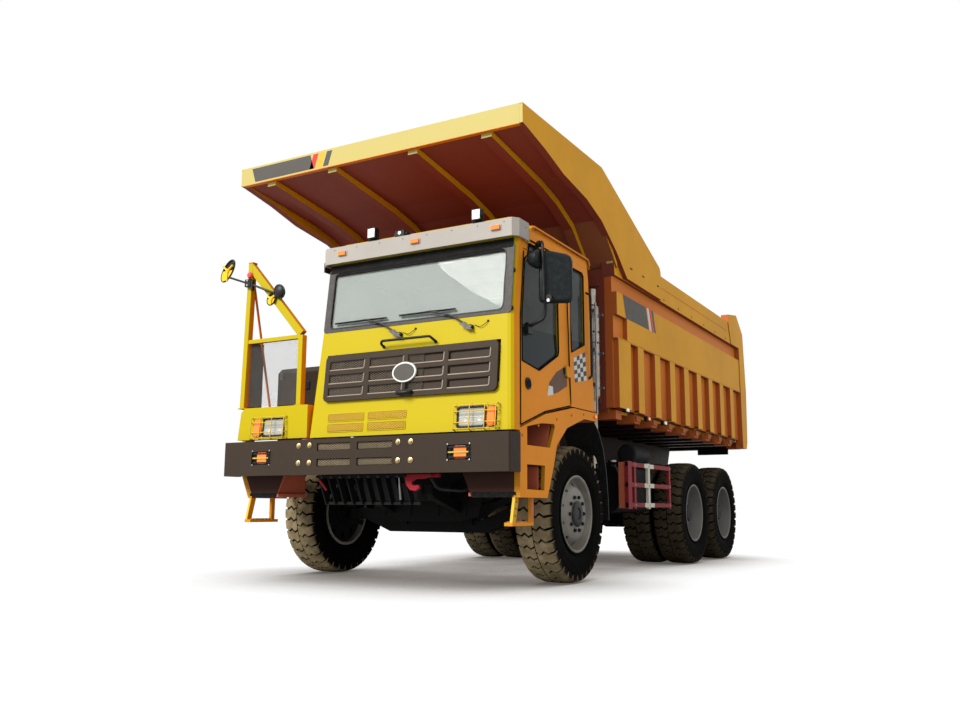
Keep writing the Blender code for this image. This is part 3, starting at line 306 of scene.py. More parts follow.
def bed_paint():
    """Bed enamel with painted shade: recessed panels between the ribs are painted deeper orange, darker towards the
    bottom, and the middle below the floor is painted near black.
    """
    m = paint("bed side enamel", (0.565, 0.268, 0.006), amount=0.12, rough=0.5, spec=0.08, front_lighting=(0.34, 0.085, 0.020), under_shade=UNDER_SHADE)
    t = m.node_tree
    b = t.nodes["Principled BSDF"]
    outer = b.inputs["Base Color"].links[0].from_socket
    geo = t.nodes.new("ShaderNodeNewGeometry")
    sep = t.nodes.new("ShaderNodeSeparateXYZ")
    link(t, geo.outputs["Position"], sep.inputs[0])
    nor = t.nodes.new("ShaderNodeSeparateXYZ")
    link(t, geo.outputs["Normal"], nor.inputs[0])
    a = math_node(t, "ABSOLUTE", sep.outputs["X"])
    side_on = math_node(t, "GREATER_THAN", math_node(t, "ABSOLUTE", nor.outputs["X"]), 0.7)
    # painted shade in the recesses between the ribs, darker towards the bottom
    recess_shade_mask = math_node(t, "MULTIPLY", side_on, math_node(t, "MULTIPLY", math_node(t, "LESS_THAN", a, RECESS_X), math_node(t, "GREATER_THAN", a, 1.6)))
    low = ramp(t, math_node(t, "DIVIDE", math_node(t, "SUBTRACT", sep.outputs["Z"], 1.6), 1.2), ((0.0, (0.36, 0.085, 0.014)), (0.85, (0.52, 0.155, 0.020))))
    col = mixc(t, recess_shade_mask, outer, low)
    # painted shade: the middle below the bed floor goes near black
    under_floor_shade = math_node(t, "MULTIPLY", math_node(t, "LESS_THAN", a, 1.42), math_node(t, "LESS_THAN", sep.outputs["Z"], 1.80))
    col = mixc(t, under_floor_shade, col, (0.016, 0.007, 0.005))
    link(t, col, b.inputs["Base Color"])
    return m


M = {
    "yellow": paint("yellow enamel", YEL, amount=0.10, rough=0.45, front_lighting=FRONT_LIGHTING, under_shade=UNDER_SHADE),
    "cab_yellow": lined("cab enamel", YEL),
    "fender": lined("fender enamel", YEL, fender=True),
    "bed_yellow": paint("bed enamel", (0.565, 0.268, 0.006), amount=0.12, rough=0.5, spec=0.08, front_lighting=(0.34, 0.085, 0.020), under_shade=UNDER_SHADE),
    "bed_side": bed_paint(),
    "canopy_yellow": paint("canopy enamel", (0.565, 0.268, 0.006), amount=0.12, rough=0.5, spec=0.08, front_lighting=(0.37, 0.31, 0.105), under_shade=UNDER_SHADE),
    "rail_orange": paint("shaded enamel", (0.52, 0.13, 0.004), amount=0.08, rough=0.45, coat=0.0),
    "orange_dark": paint("deep orange", (0.30, 0.075, 0.012), amount=0.1, rough=0.5, coat=0.0),
    # red that paints the shade inside the step boxes, on the stirrup's rear strap and behind the side guards
    "step_shade_red": paint("step back", (0.46, 0.115, 0.062), amount=0.12, rough=0.5, coat=0.0),
    "step_brown": paint("worn tread strip", (0.26, 0.10, 0.03), amount=0.35, rough=0.55, coat=0.0),
    "bed_wear": metal("worn bed steel", (0.16, 0.12, 0.08), 0.5, 0.5, 0.3),
    "steel_plate": paint("tread plate", YEL, amount=0.3, rough=0.5, coat=0.0),
    "mesh_pale": metal("pale mesh", (0.20, 0.20, 0.20), 0.6, 0.1),
    "mirror_dark": metal("mirror back", (0.05, 0.05, 0.05), 0.15, 0.1, 0.0),
    "decal_orange": paint("decal orange", (0.80, 0.30, 0.02), amount=0.05, rough=0.4),
    "decal_brown": paint("decal brown", (0.10, 0.05, 0.03), amount=0.05, rough=0.4),
    "black": paint("chassis black", (0.004, 0.004, 0.0045), dust=(0.05, 0.04, 0.03), amount=0.22, rough=0.65, coat=0.0, spec=0.12),
    "brown": paint("brown-grey enamel", (0.028, 0.019, 0.013), dust=(0.10, 0.08, 0.06), amount=0.25, rough=0.50, coat=0.0),
    "white": paint("white enamel", (0.29, 0.27, 0.25), dust=(0.22, 0.17, 0.12), amount=0.3, rough=0.4),
    "rail_white": paint("guard white", (0.56, 0.54, 0.47), amount=0.4, rough=0.5),
    "rail_red": paint("guard red", (0.20, 0.018, 0.022), amount=0.3, rough=0.5),
    "red": paint("signal red", (0.42, 0.015, 0.02), amount=0.2, rough=0.4),
    "grey": plastic("grey surround", (0.034, 0.030, 0.028), 0.5),
    "lining": plastic("cab lining", (0.30, 0.31, 0.30), 0.8),
    "plastic": plastic("black plastic", (0.008, 0.008, 0.009), 0.42),
    # near black used for real black parts and, behind openings and under trims, as painted shade
    "deep": plastic("black void", (0.004, 0.004, 0.004), 0.9, 0.0),
    "tyre": rubber("sidewall rubber", (0.0012, 0.0012, 0.0011), (0.006, 0.005, 0.004), 0.35),
    "tread": rubber("dusty tread", (0.104, 0.082, 0.048), (0.26, 0.205, 0.12), 0.75, (0.0045, 0.004, 0.0035)),
    "rim": paint("rim silver", (0.27, 0.258, 0.23), dust=(0.12, 0.095, 0.07), amount=0.9, rough=0.42, metal=0.35, vary=0.5),
    "rim_dark": paint("rim grey", (0.185, 0.178, 0.17), dust=(0.10, 0.08, 0.06), amount=0.5, rough=0.5, metal=0.3),
    "chrome": metal("chrome", (0.40, 0.36, 0.31), 0.26, 0.5),
    "steel": metal("ground steel", (0.30, 0.30, 0.31), 0.35, 0.3),
    "brass": metal("passivated bolt", (0.52, 0.38, 0.20), 0.35, 0.3),
    "mesh_dark": metal("grille mesh", (0.27, 0.225, 0.185), 0.45, 0.4),
    "mesh_yellow": paint("yellow mesh", (0.46, 0.31, 0.03), amount=0.2, rough=0.5),
    "mesh_grey": metal("expanded mesh", (0.55, 0.55, 0.57), 0.5, 0.2),
    "windshield": glass("windshield glass", (0.34, 0.385, 0.375), 0.42, 0.02, 0.05),
    "side_glass": glass("side glass", (0.012, 0.020, 0.021), 0.80, 0.03, 0.05, low=(2.42 + 0.05 * S, 0.05)),
    "mirror": metal("mirror glass", (0.85, 0.87, 0.88), 0.08, 0.05, 0.0),
    "amber": lens("amber lens", (0.80, 0.15, 0.006)),
    "clear": lens("clear lens", (0.80, 0.80, 0.76), 30.0),
    "red_lens": lens("red lens", (0.55, 0.02, 0.02)),
    "mirror_yellow": paint("mirror yellow", (0.70, 0.42, 0.02), amount=0.2, rough=0.4),
    "seat": weave("seat weave", (0.10, 0.10, 0.11)),
    "seat_light": weave("seat cover", (0.42, 0.42, 0.40)),
    "decal_grey": paint("decal grey", (0.060, 0.055, 0.050), amount=0.15, rough=0.4),
    "decal_white": paint("decal white", (0.52, 0.52, 0.50), amount=0.15, rough=0.4),
    "decal_red": paint("decal red", (0.50, 0.03, 0.02), amount=0.15, rough=0.4),
    "decal_yellow": paint("decal yellow", (0.80, 0.45, 0.02), amount=0.15, rough=0.4),
    "wall_red": paint("shaded wall", (0.15, 0.034, 0.022), amount=0.2, rough=0.55),
    "rim_white": paint("oval rim", (0.50, 0.50, 0.48), amount=0.1, rough=0.4),
    "arm": plastic("wiper arm", (0.10, 0.098, 0.092), 0.4),
    "dim_chrome": metal("lamp reflector", (0.62, 0.62, 0.62), 0.30, 0.6),
    "engine": paint("engine grey", (0.026, 0.026, 0.028), dust=(0.08, 0.065, 0.05), amount=0.35, rough=0.6, coat=0.0),
}

# ------------------------------------------------------------------ mesh kit
BEVELS = {}


class Piece:
    """Collects closed shapes, in stations from the front axle, into one mesh object."""

    def __init__(self, name, material, body="chassis", slot=None, bevel=0.0, smooth=35, segments=2):
        self.name, self.material, self.body, self.slot = name, material, body, slot
        self.bevel, self.smooth, self.segments = bevel, smooth, segments
        self.v, self.f, self.fm = [], [], []
        self.mats = [material]

    def add(self, v, f, material=None):
        k = len(self.v)
        v = [tuple(map(float, p)) for p in v]
        vol = 0.0
        for face in f:
            a = v[face[0]]
            for i in range(1, len(face) - 1):
                b, c = v[face[i]], v[face[i + 1]]
                vol += a[0] * (b[1] * c[2] - b[2] * c[1]) - a[1] * (b[0] * c[2] - b[2] * c[0]) + a[2] * (b[0] * c[1] - b[1] * c[0])
        if vol < 0:
            f = [tuple(reversed(x)) for x in f]
        self.v += v
        self.f += [tuple(k + i for i in x) for x in f]
        idx = 0
        if material and material != self.material:
            if material not in self.mats:
                self.mats.append(material)
            idx = self.mats.index(material)
        self.fm += [idx] * len(f)
        return self

    def hexa(self, lo, hi, material=None):
        f = [(3, 2, 1, 0), (4, 5, 6, 7)] + [(i, (i + 1) % 4, 4 + (i + 1) % 4, 4 + i) for i in range(4)]
        return self.add(list(lo) + list(hi), f, material)

    def box(self, x0, x1, y0, y1, z0, z1, material=None):
        x0, x1 = sorted((x0, x1))
        return self.hexa([(x0, y0, z0), (x1, y0, z0), (x1, y1, z0), (x0, y1, z0)], [(x0, y0, z1), (x1, y0, z1), (x1, y1, z1), (x0, y1, z1)], material)

    def prism(self, prof, axis, a, b, material=None):
        pl = {"x": lambda p, t: (t, p[0], p[1]), "y": lambda p, t: (p[0], t, p[1]), "z": lambda p, t: (p[0], p[1], t)}[axis]
        n = len(prof)
        v = [pl(p, a) for p in prof] + [pl(p, b) for p in prof]
        f = [tuple(reversed(range(n))), tuple(range(n, 2 * n))] + [(i, (i + 1) % n, n + (i + 1) % n, n + i) for i in range(n)]
        return self.add(v, f, material)

    def rod(self, p, q, r, n=16, r2=None, material=None):
        p, q = Vector(p), Vector(q)
        d = (q - p).normalized()
        s = d.cross(Vector((0, 0, 1)) if abs(d.z) < 0.9 else Vector((1, 0, 0))).normalized()
        u = s.cross(d)
        v = []
        for e, rr in ((p, r), (q, r if r2 is None else r2)):
            v += [tuple(e + rr * (math.cos(2 * math.pi * k / n) * s + math.sin(2 * math.pi * k / n) * u)) for k in range(n)]
        f = [tuple(reversed(range(n))), tuple(range(n, 2 * n))] + [(i, (i + 1) % n, n + (i + 1) % n, n + i) for i in range(n)]
        return self.add(v, f, material)

    def tube(self, path, r, n=12, closed=False, round_r=0.0, material=None):
        """A bar bent along a path, its corners rounded by round_r."""
        pts = [Vector(p) for p in path]
        if round_r:
            out = []
            m = len(pts)
            for i, p in enumerate(pts):
                if not closed and i in (0, m - 1):
                    out.append(p)
                    continue
                a, b = pts[i - 1], pts[(i + 1) % m]
                d1, d2 = (a - p), (b - p)
                k = min(round_r, d1.length * 0.45, d2.length * 0.45)
                s1, s2 = p + d1.normalized() * k, p + d2.normalized() * k
                for j in range(6):
                    w = j / 5
                    out.append(s1 * (1 - w) ** 2 + p * 2 * w * (1 - w) + s2 * w * w)
            pts = out
        m = len(pts)
        rings, prev = [], None
        for i, p in enumerate(pts):
            a = pts[i - 1] if (i or closed) else p
            b = pts[(i + 1) % m] if (i < m - 1 or closed) else p
            d = (b - a).normalized()
            if prev is None:
                s = d.cross(Vector((0, 0, 1)) if abs(d.z) < 0.9 else Vector((1, 0, 0))).normalized()
            else:
                s = (prev - d * prev.dot(d)).normalized()
            prev = s
            u = s.cross(d)
            rings.append([tuple(p + r * (math.cos(2 * math.pi * k / n) * s + math.sin(2 * math.pi * k / n) * u)) for k in range(n)])
        v = [p for ring in rings for p in ring]
        f = []
        for i in range(m if closed else m - 1):
            j = (i + 1) % m
            for k in range(n):
                l = (k + 1) % n
                f.append((i * n + k, i * n + l, j * n + l, j * n + k))
        if not closed:
            f += [tuple(reversed(range(n))), tuple(range((m - 1) * n, m * n))]
        return self.add(v, f, material)

    def turned(self, prof, c, axis="x", n=64, material=None):
        """A closed (along, radius) outline swept round an axis through c."""
        v, idx = [], []
        for a, r in prof:
            row = []
            for k in range(1 if r < 1e-6 else n):
                t = 2 * math.pi * k / n
                p = {"x": (a, r * math.cos(t), r * math.sin(t)), "y": (r * math.cos(t), a, r * math.sin(t)), "z": (r * math.cos(t), r * math.sin(t), a)}[axis]
                v.append((c[0] + p[0], c[1] + p[1], c[2] + p[2]))
                row.append(len(v) - 1)
            idx.append(row if len(row) > 1 else row * n)
        f = []
        for i in range(len(prof)):
            j = (i + 1) % len(prof)
            for k in range(n):
                l = (k + 1) % n
                q = []
                for x in (idx[i][k], idx[j][k], idx[j][l], idx[i][l]):
                    if x not in q:
                        q.append(x)
                if len(q) > 2:
                    f.append(tuple(q))
        return self.add(v, f, material)

    def ball(self, c, r, n=16, squash=(1, 1, 1), material=None):
        prof = [(r * math.sin(math.pi * (i / 8 - 0.5)), max(0.0, r * math.cos(math.pi * (i / 8 - 0.5)))) for i in range(9)]
        prof[0] = (-r, 0.0)
        prof[-1] = (r, 0.0)
        k = len(self.v)
        v, idx, f = [], [], []
        for a, rr in prof:
            row = []
            for i in range(1 if rr < 1e-6 else n):
                t = 2 * math.pi * i / n
                v.append((c[0] + squash[0] * rr * math.cos(t), c[1] + squash[1] * rr * math.sin(t), c[2] + squash[2] * a))
                row.append(len(v) - 1)
            idx.append(row if len(row) > 1 else row * n)
        for i in range(8):
            for kk in range(n):
                l = (kk + 1) % n
                q = []
                for x in (idx[i][kk], idx[i][l], idx[i + 1][l], idx[i + 1][kk]):
                    if x not in q:
                        q.append(x)
                if len(q) > 2:
                    f.append(tuple(q))
        return self.add(v, f, material)

    def done(self, replaces=None):
        name = self.name.replace(" ", "_") + "_fine"
        me = bpy.data.meshes.new(name)
        me.from_pydata([(x, y - S, z) for x, y, z in self.v], [], self.f)
        me.update()
        obj = bpy.data.objects.new(name, me)
        bpy.context.scene.collection.objects.link(obj)
        for m in self.mats:
            me.materials.append(M[m])
        me.polygons.foreach_set("material_index", self.fm)
        if self.smooth:
            me.shade_smooth()
            me.set_sharp_from_angle(angle=math.radians(self.smooth))
        if self.bevel:
            b = obj.modifiers.new("edge", "BEVEL")
            b.width = self.bevel
            b.segments = self.segments
            b.limit_method = "ANGLE"
            b.angle_limit = math.radians(40)
            b.harden_normals = False
        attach(obj, self.body)
        if replaces:
            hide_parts(*([replaces] if isinstance(replaces, str) else replaces))
        return obj


# ------------------------------------------------------------------ CAD nodes kept, with softened edges
KEEP = {
    "yellow": "front_deck deck_rail",
    "fender": "left_step_fender right_step_fender",
    "bed_side": "bed_floor bed_side_left bed_side_right",
    "canopy_yellow": "canopy",
    "cab_yellow": "cab_front_panel cab_roof cab_rear_wall cab_right_wall cab_left_wall cab_door_left",
    "black": "frame skid_guard front_axle rear_axle_1 rear_axle_2 rear_suspension knuckle_left knuckle_right hoist_barrel_left hoist_barrel_right fuel_tank hydraulic_tank",
    "engine": "engine_block",
    "brown": "front_bumper deck_box front_grille",
    "wall_red": "bed_front_wall",
    "windshield": "windshield",
    "side_glass": "right_glass quarter_glass door_glass_left",
    "plastic": "dashboard steering_wheel mirror_left",
    "grey": "cab_floor",
    "white": "roof_visor",
    "seat": "driver_seat",
    "mirror_yellow": "right_mirror",
    "chrome": "exhaust_stack",
    "rail_red": "side_guard_left side_guard_right",
    "steel": "hoist_rod_left hoist_rod_right",
    "tyre": "front_tyre_left front_tyre_right mid_wheel_left mid_wheel_right rear_wheel_left rear_wheel_right",
    "rim": "front_rim_left front_rim_right",
}
WIDTH = {"canopy": 0.008, "bed_side_left": 0.008, "bed_side_right": 0.008, "cab_roof": 0.02, "front_bumper": 0.008, "roof_visor": 0.006}
NO_BEVEL = {"windshield", "right_glass", "quarter_glass", "door_glass_left", "steering_wheel", "hoist_rod_left", "hoist_rod_right"}
for key, names in KEEP.items():
    for name in names.split():
        obj = NODES[name]
        me = obj.data
        me.materials.clear()
        me.materials.append(M[key])
        if name in NO_BEVEL:
            continue
        b = obj.modifiers.new("edge", "BEVEL")
        b.width = WIDTH.get(name, 0.005)
        b.segments = 2
        b.limit_method = "ANGLE"
        b.angle_limit = math.radians(38)
        b.use_clamp_overlap = True

# ------------------------------------------------------------------ tyres
R, HALF = 0.672, 0.1925
RIM = 0.372


def crown(x):
    """Tread radius at a distance x from the middle of the tyre."""
    x = abs(x)
    return R - 0.010 * (x / HALF) ** 2 - (0.012 if x > 0.17 else 0.0)


def tyre(piece, cx, y, s, lugs=34, n=96):
    g = R - 0.030
    prof = [(0.150, RIM - 0.004), (0.168, RIM + 0.004), (0.172, RIM + 0.020), (0.160, RIM + 0.035), (0.172, RIM + 0.055), (0.186, RIM + 0.095), (0.1915, RIM + 0.14), (0.188, RIM + 0.185), (0.190, RIM + 0.19), (0.186, RIM + 0.215), (0.176, g - 0.025), (0.165, g - 0.004), (0.10, g)]
    full = prof + [(-x, r) for x, r in reversed(prof)]
    piece.turned([(cx + x, r) for x, r in full], (0, y, R), "x", n, "tyre")
    pitch = 2 * math.pi / lugs
    for side in (-1, 1):
        for k in range(lugs):
            t0 = pitch * (k + (0.5 if side > 0 else 0.0))
            mid = [(0.004, 0.10), (0.045, 0.26), (0.080, -0.02), (0.125, 0.22), (0.176, 0.12), (0.1905, 0.12)]
            half = [0.40, 0.405, 0.40, 0.395, 0.37, 0.34]
            top, low = [], []
            for sign in (1, -1):
                seq = list(zip(mid, half))
                for (x, m), h in seq if sign > 0 else reversed(seq):
                    a = t0 + pitch * (m + sign * h)
                    a2 = t0 + pitch * (m + sign * (h + 0.035))
                    rt = crown(x) if x < 0.185 else R - 0.035
                    rl = g - 0.006 if x < 0.185 else R - 0.085
                    xx = x if x < 0.185 else x + 0.0008
                    top.append((cx + side * xx, y + rt * math.cos(a), R + rt * math.sin(a)))
                    low.append((cx + side * (xx if x < 0.185 else 0.186), y + rl * math.cos(a2), R + rl * math.sin(a2)))
            m = len(top)
            # strips across the lug keep the top curved
            f = []
            h = m // 2
            for i in range(h - 1):
                f.append((i, i + 1, m - 2 - i, m - 1 - i))
            f.append(tuple(reversed([m + i for i in range(m)])))
            for i in range(m):
                j = (i + 1) % m
                f.append((j, i, m + i, m + j))
            piece.add(top + low, f, "tread")


def disc_rear(piece, cx, y, s):
    """Rear rim: deep dish, ring of nuts and planetary hub."""
    o = cx + s * HALF
    P = lambda d, r: (o - s * d, r)
    prof = [P(0.40, RIM - 0.006), P(0.030, RIM - 0.006), P(0.022, RIM + 0.006), P(0.016, RIM + 0.006), P(0.014, RIM - 0.004), P(0.022, RIM - 0.016), P(0.10, RIM - 0.030), P(0.20, RIM - 0.045), P(0.235, RIM - 0.08), P(0.245, 0.25), P(0.245, 0.14), P(0.26, 0.14), P(0.26, 0.26), P(0.25, 0.30), P(0.22, RIM - 0.04), P(0.40, RIM - 0.035)]
    piece.turned(prof, (0, y, R), "x", 72)
    hub = [P(0.30, 0.0), P(0.30, 0.155), P(0.17, 0.155), P(0.155, 0.145), P(0.150, 0.115), P(0.10, 0.110), P(0.085, 0.10), P(0.080, 0.03), P(0.075, 0.0)]
    piece.turned(hub, (0, y, R), "x", 40, "engine")
    for k in range(10):
        t = 2 * math.pi * (k + 0.5) / 10
        c, d = math.cos(t), math.sin(t)
        piece.rod((o - s * 0.250, y + 0.195 * c, R + 0.195 * d), (o - s * 0.215, y + 0.195 * c, R + 0.195 * d), 0.019, 6, 0.017, "engine")
    for k in range(8):
        t = 2 * math.pi * (k + 0.5) / 8
        c, d = math.cos(t), math.sin(t)
        piece.rod((o - s * 0.16, y + 0.130 * c, R + 0.130 * d), (o - s * 0.143, y + 0.130 * c, R + 0.130 * d), 0.012, 6, None, "engine")


def holes(obj, cx, y, s, radius, count, hole, depth):
    """Hand holes cut through the disc, each an ellipse across the radius."""
    cut = Piece("cutter", "rim", smooth=0)
    for k in range(count):
        t = 2 * math.pi * (k + 0.5) / count
        c, d = math.cos(t), math.sin(t)
        cut.rod((cx - 0.25, y + radius * c, R + radius * d), (cx + 0.25, y + radius * c, R + radius * d), hole, 20)
    me = bpy.data.meshes.new("cutter")
    me.from_pydata([(a, b - S, c) for a, b, c in cut.v], [], cut.f)
    other = bpy.data.objects.new("cutter", me)
    bpy.context.scene.collection.objects.link(other)
    mod = obj.modifiers.new("holes", "BOOLEAN")
    mod.object = other
    mod.operation = "DIFFERENCE"
    bpy.context.view_layer.update()
    made = bpy.data.meshes.new_from_object(obj.evaluated_get(bpy.context.evaluated_depsgraph_get()))
    obj.modifiers.clear()
    obj.data = made
    bpy.data.objects.remove(other, do_unlink=True)


def wheel_pieces():
    for side, s in (("left", 1), ("right", -1)):
        body = f"front_wheel_{side}"
        cx = s * (1.617 - HALF)
        t = Piece(f"front tyre {side}", "tyre", body, "tyre")
        tyre(t, cx, 0.0, s)
        t.done(f"front_tyre_{side}")
        w = Piece(f"front rim {side}", "rim", body, "rim_silver", smooth=30)
        o = cx + s * HALF
        P = lambda d, r: (o - s * d, r)
        prof = [P(0.36, RIM - 0.006), P(0.028, RIM - 0.006), P(0.020, RIM + 0.006), P(0.014, RIM + 0.006), P(0.012, RIM - 0.004), P(0.020, RIM - 0.018), P(0.060, RIM - 0.030), P(0.088, RIM - 0.045), P(0.085, 0.312), P(0.062, 0.285), P(0.040, 0.262), P(0.026, 0.235), P(0.024, 0.15), P(0.020, 0.145), P(0.020, 0.10), P(0.04, 0.10), P(0.04, 0.232), P(0.055, 0.258), P(0.078, 0.285), P(0.10, 0.315), P(0.11, RIM - 0.035), P(0.36, RIM - 0.035)]
        w.turned(prof, (0, 0, R), "x", 72)
        obj = w.done(f"front_rim_{side}")
        holes(obj, cx, 0.0, s, 0.285, 10, 0.021, 0.1)
        h = Piece(f"front hub {side}", "plastic", body, "black_plastic", smooth=30)
        hub = [P(0.33, 0.0), P(0.33, 0.105), P(0.02, 0.105), P(0.010, 0.128), P(0.006, 0.122), P(0.002, 0.10), P(0.001, 0.070), P(0.001, 0.062), P(0.010, 0.058), P(0.006, 0.0)]
        h.turned(hub, (0, 0, R), "x", 40)
        for k in range(10):
            a = 2 * math.pi * k / 10
            c, d = math.cos(a), math.sin(a)
            h.rod((o - s * 0.027, 0.168 * c, R + 0.168 * d), (o - s * 0.008, 0.168 * c, R + 0.168 * d), 0.021, 6, 0.019)
            h.rod((o - s * 0.009, 0.168 * c, R + 0.168 * d), (o - s * 0.001, 0.168 * c, R + 0.168 * d), 0.011, 8, 0.010)
            if True:
                a += 2 * math.pi / 20
                c, d = math.cos(a), math.sin(a)
                h.rod((o - s * 0.10, 0.262 * c, R + 0.262 * d), (o - s * 0.30, 0.262 * c, R + 0.262 * d), 0.03, 8)
        h.turned([P(0.30, 0.0), P(0.30, 0.33), P(0.14, 0.33), P(0.14, 0.0)], (0, 0, R), "x", 32, "deep")
        h.done()
        for place, y in (("mid", 3.846), ("rear", 5.344)):
            body = f"{place}_wheel_body_{side}"
            t = Piece(f"{place} tyres {side}", "tyre", body, "tyre")
            outer = s * (1.662 - HALF)
            inner = s * (1.662 - HALF - 0.43)
            tyre(t, outer, y, s)
            tyre(t, inner, y, s)
            t.done(f"{place}_wheel_{side}")
            w = Piece(f"{place} rim {side}", "rim_dark", body, "rim_silver", smooth=30)
            disc_rear(w, outer, y, s)
            i0 = inner - s * HALF
            w.turned([(i0 + s * 0.03, RIM - 0.006), (i0 + s * 0.36, RIM - 0.006), (i0 + s * 0.36, RIM - 0.03), (i0 + s * 0.03, RIM - 0.03)], (0, y, R), "x", 48)
            w.turned([(i0 + s * 0.05, 0.17), (i0 + s * 0.05, 0.30), (i0 + s * 0.24, 0.30), (i0 + s * 0.24, 0.17)], (0, y, R), "x", 32, "engine")
            w.done()


wheel_pieces()

# ------------------------------------------------------------------ outlines and small fittings
def fy(z):
    """Front plane of the cab."""
    return float(np.interp(z, (1.40, 2.45, 3.14, 3.25), (-1.45, -1.356, -1.275, -1.262)))


def sx(z):
    """Left side plane of the cab."""
    return float(np.interp(z, (1.40, 2.45, 3.14), (1.65, 1.60, 1.60)))


def rounded(x0, x1, z0, z1, r=0.02, n=4):
    out = []
    for cx, cz, start in ((x1 - r, z0 + r, -90), (x1 - r, z1 - r, 0), (x0 + r, z1 - r, 90), (x0 + r, z0 + r, 180)):
        for k in range(n + 1):
            t = math.radians(start + 90 * k / n)
            out.append((cx + r * math.cos(t), cz + r * math.sin(t)))
    return out


def oval(x, z, a, b, n=40):
    return [(x + a * math.cos(2 * math.pi * k / n), z + b * math.sin(2 * math.pi * k / n)) for k in range(n)]


def front(p, outline, d0, d1, material=None, yf=fy):
    """A plate standing d0 to d1 proud of the front plane."""
    n = len(outline)
    v = [(x, yf(z) - d0, z) for x, z in outline] + [(x, yf(z) - d1, z) for x, z in outline]
    f = [tuple(reversed(range(n))), tuple(range(n, 2 * n))] + [(i, (i + 1) % n, n + (i + 1) % n, n + i) for i in range(n)]
    p.add(v, f, material)


def side(p, outline, d0, d1, material=None, xf=sx, s=1):
    n = len(outline)
    v = [(s * (xf(z) + d0), y, z) for y, z in outline] + [(s * (xf(z) + d1), y, z) for y, z in outline]
    f = [tuple(reversed(range(n))), tuple(range(n, 2 * n))] + [(i, (i + 1) % n, n + (i + 1) % n, n + i) for i in range(n)]
    p.add(v, f, material)


def ring(p, outer, inner, d0, d1, material=None, yf=fy):
    n = len(outer)
    v = [(x, yf(z) - d, z) for d in (d0, d1) for o in (outer, inner) for x, z in o]
    f = []
    for i in range(n):
        j = (i + 1) % n
        f += [(i, j, n + j, n + i), (2 * n + j, 2 * n + i, 3 * n + i, 3 * n + j), (j, i, 2 * n + i, 2 * n + j), (n + i, n + j, 3 * n + j, 3 * n + i)]
    p.add(v, f, material)


def net(p, x0, x1, z0, z1, place, pitch=0.012, r=0.0011, material=None):
    """Expanded mesh: two families of slanted strands clipped to a rectangle; place turns (u, v) into a point."""
    k = 0.55
    for sign in (1, -1):
        span = (x1 - x0) + (z1 - z0) / k
        for i in range(int(span / pitch) + 1):
            a = x0 - (z1 - z0) / k + i * pitch if sign > 0 else x0 + i * pitch
            pts = []
            for z in (z0, z1):
                pts.append((a + sign * (z - z0) / k, z))
            (xa, za), (xb, zb) = pts
            lo, hi = sorted(((xa, za), (xb, zb)))
            slope = (hi[1] - lo[1]) / (hi[0] - lo[0])
            u0, u1 = max(lo[0], x0), min(hi[0], x1)
            if u1 - u0 < 0.002:
                continue
            p.rod(place(u0, lo[1] + slope * (u0 - lo[0])), place(u1, lo[1] + slope * (u1 - lo[0])), r, 4, None, material)


def hexhead(p, c, axis, r, h, material=None, n=6):
    q = tuple(c[i] + axis[i] * h for i in range(3))
    w = tuple(c[i] + axis[i] * h * 0.3 for i in range(3))
    p.rod(c, w, r * 1.35, 16, None, material)
    p.rod(c, q, r, n, r * 0.94, material)


# ------------------------------------------------------------------ grille flap
# painted highlight: a pale colour for the grille lips that catch the sun
LIP_HIGHLIGHT = "lip_highlight"
M["lip_highlight"] = paint("lip highlight enamel", (0.24, 0.20, 0.155), amount=0.2, rough=0.40)
COLS = ((-0.417, 0.013), (0.068, 0.468), (0.513, 0.918), (0.959, 1.406))
ROWS = ((2.055, 2.150), (1.920, 2.015), (1.795, 1.885))
g = Piece("grille panel", "brown", "grille", "brown_paint", bevel=0.002)
front(g, rounded(-0.47, 1.48, 1.747, 2.21, 0.05, 5), -0.002, 0.010)
ring(g, rounded(-0.47, 1.48, 1.747, 2.21, 0.05, 5), rounded(-0.417, 1.406, 1.795, 2.15, 0.02, 5), 0.008, 0.030)
for a, b in ((0.013, 0.068), (0.468, 0.513), (0.918, 0.959)):
    front(g, [(a, 1.78), (b, 1.78), (b, 2.16), (a, 2.16)], 0.008, 0.0292)
for a, b in ((1.885, 1.920), (2.015, 2.055)):
    front(g, [(-0.43, a), (1.42, a), (1.42, b), (-0.43, b)], 0.008, 0.0288)
g.done("front_grille")
g = Piece("grille lips", LIP_HIGHLIGHT, "grille", "brown_paint")
# pale tubes on each opening's sunlit sill and right wall are a painted highlight; the left wall and top keep the
# panel's brown
for x0, x1 in COLS:
    for z0, z1 in ROWS:
        g.tube([(x0 + 0.006, fy(z0) - 0.029, z0 + 0.003), (x1 - 0.006, fy(z0) - 0.029, z0 + 0.003), (x1 - 0.004, fy(z1) - 0.029, z1 - 0.006)], 0.0062, 8, round_r=0.02)
        g.tube([(x0 + 0.004, fy(z0) - 0.027, z0 + 0.008), (x0 + 0.004, fy(z1) - 0.027, z1 - 0.004), (x1 - 0.02, fy(z1) - 0.027, z1 - 0.002)], 0.004, 6, round_r=0.015, material="brown")
g.done()
g = Piece("grille mesh", "mesh_dark", "grille", "black_plastic", smooth=0)
for (x0, x1) in ((-0.417, 0.013), (0.068, 0.468), (0.513, 0.690)):
    for z0, z1 in ROWS:
        # a black plate behind the mesh, standing in for the shade behind the grille
        front(g, rounded(x0, x1, z0, z1, 0.008, 2), 0.009, 0.0115, "deep")
        net(g, x0, x1, z0, z1, lambda u, w: (u, fy(w) - 0.0165, w), 0.036, 0.0030)
g.done()
g = Piece("grille emblem", "white", "grille", "white_paint", bevel=0.003)
front(g, oval(0.489, 1.98, 0.135, 0.098), 0.025, 0.047, "rim_white")
front(g, oval(0.489, 1.98, 0.118, 0.082), 0.030, 0.0495, "decal_grey")
g.done()
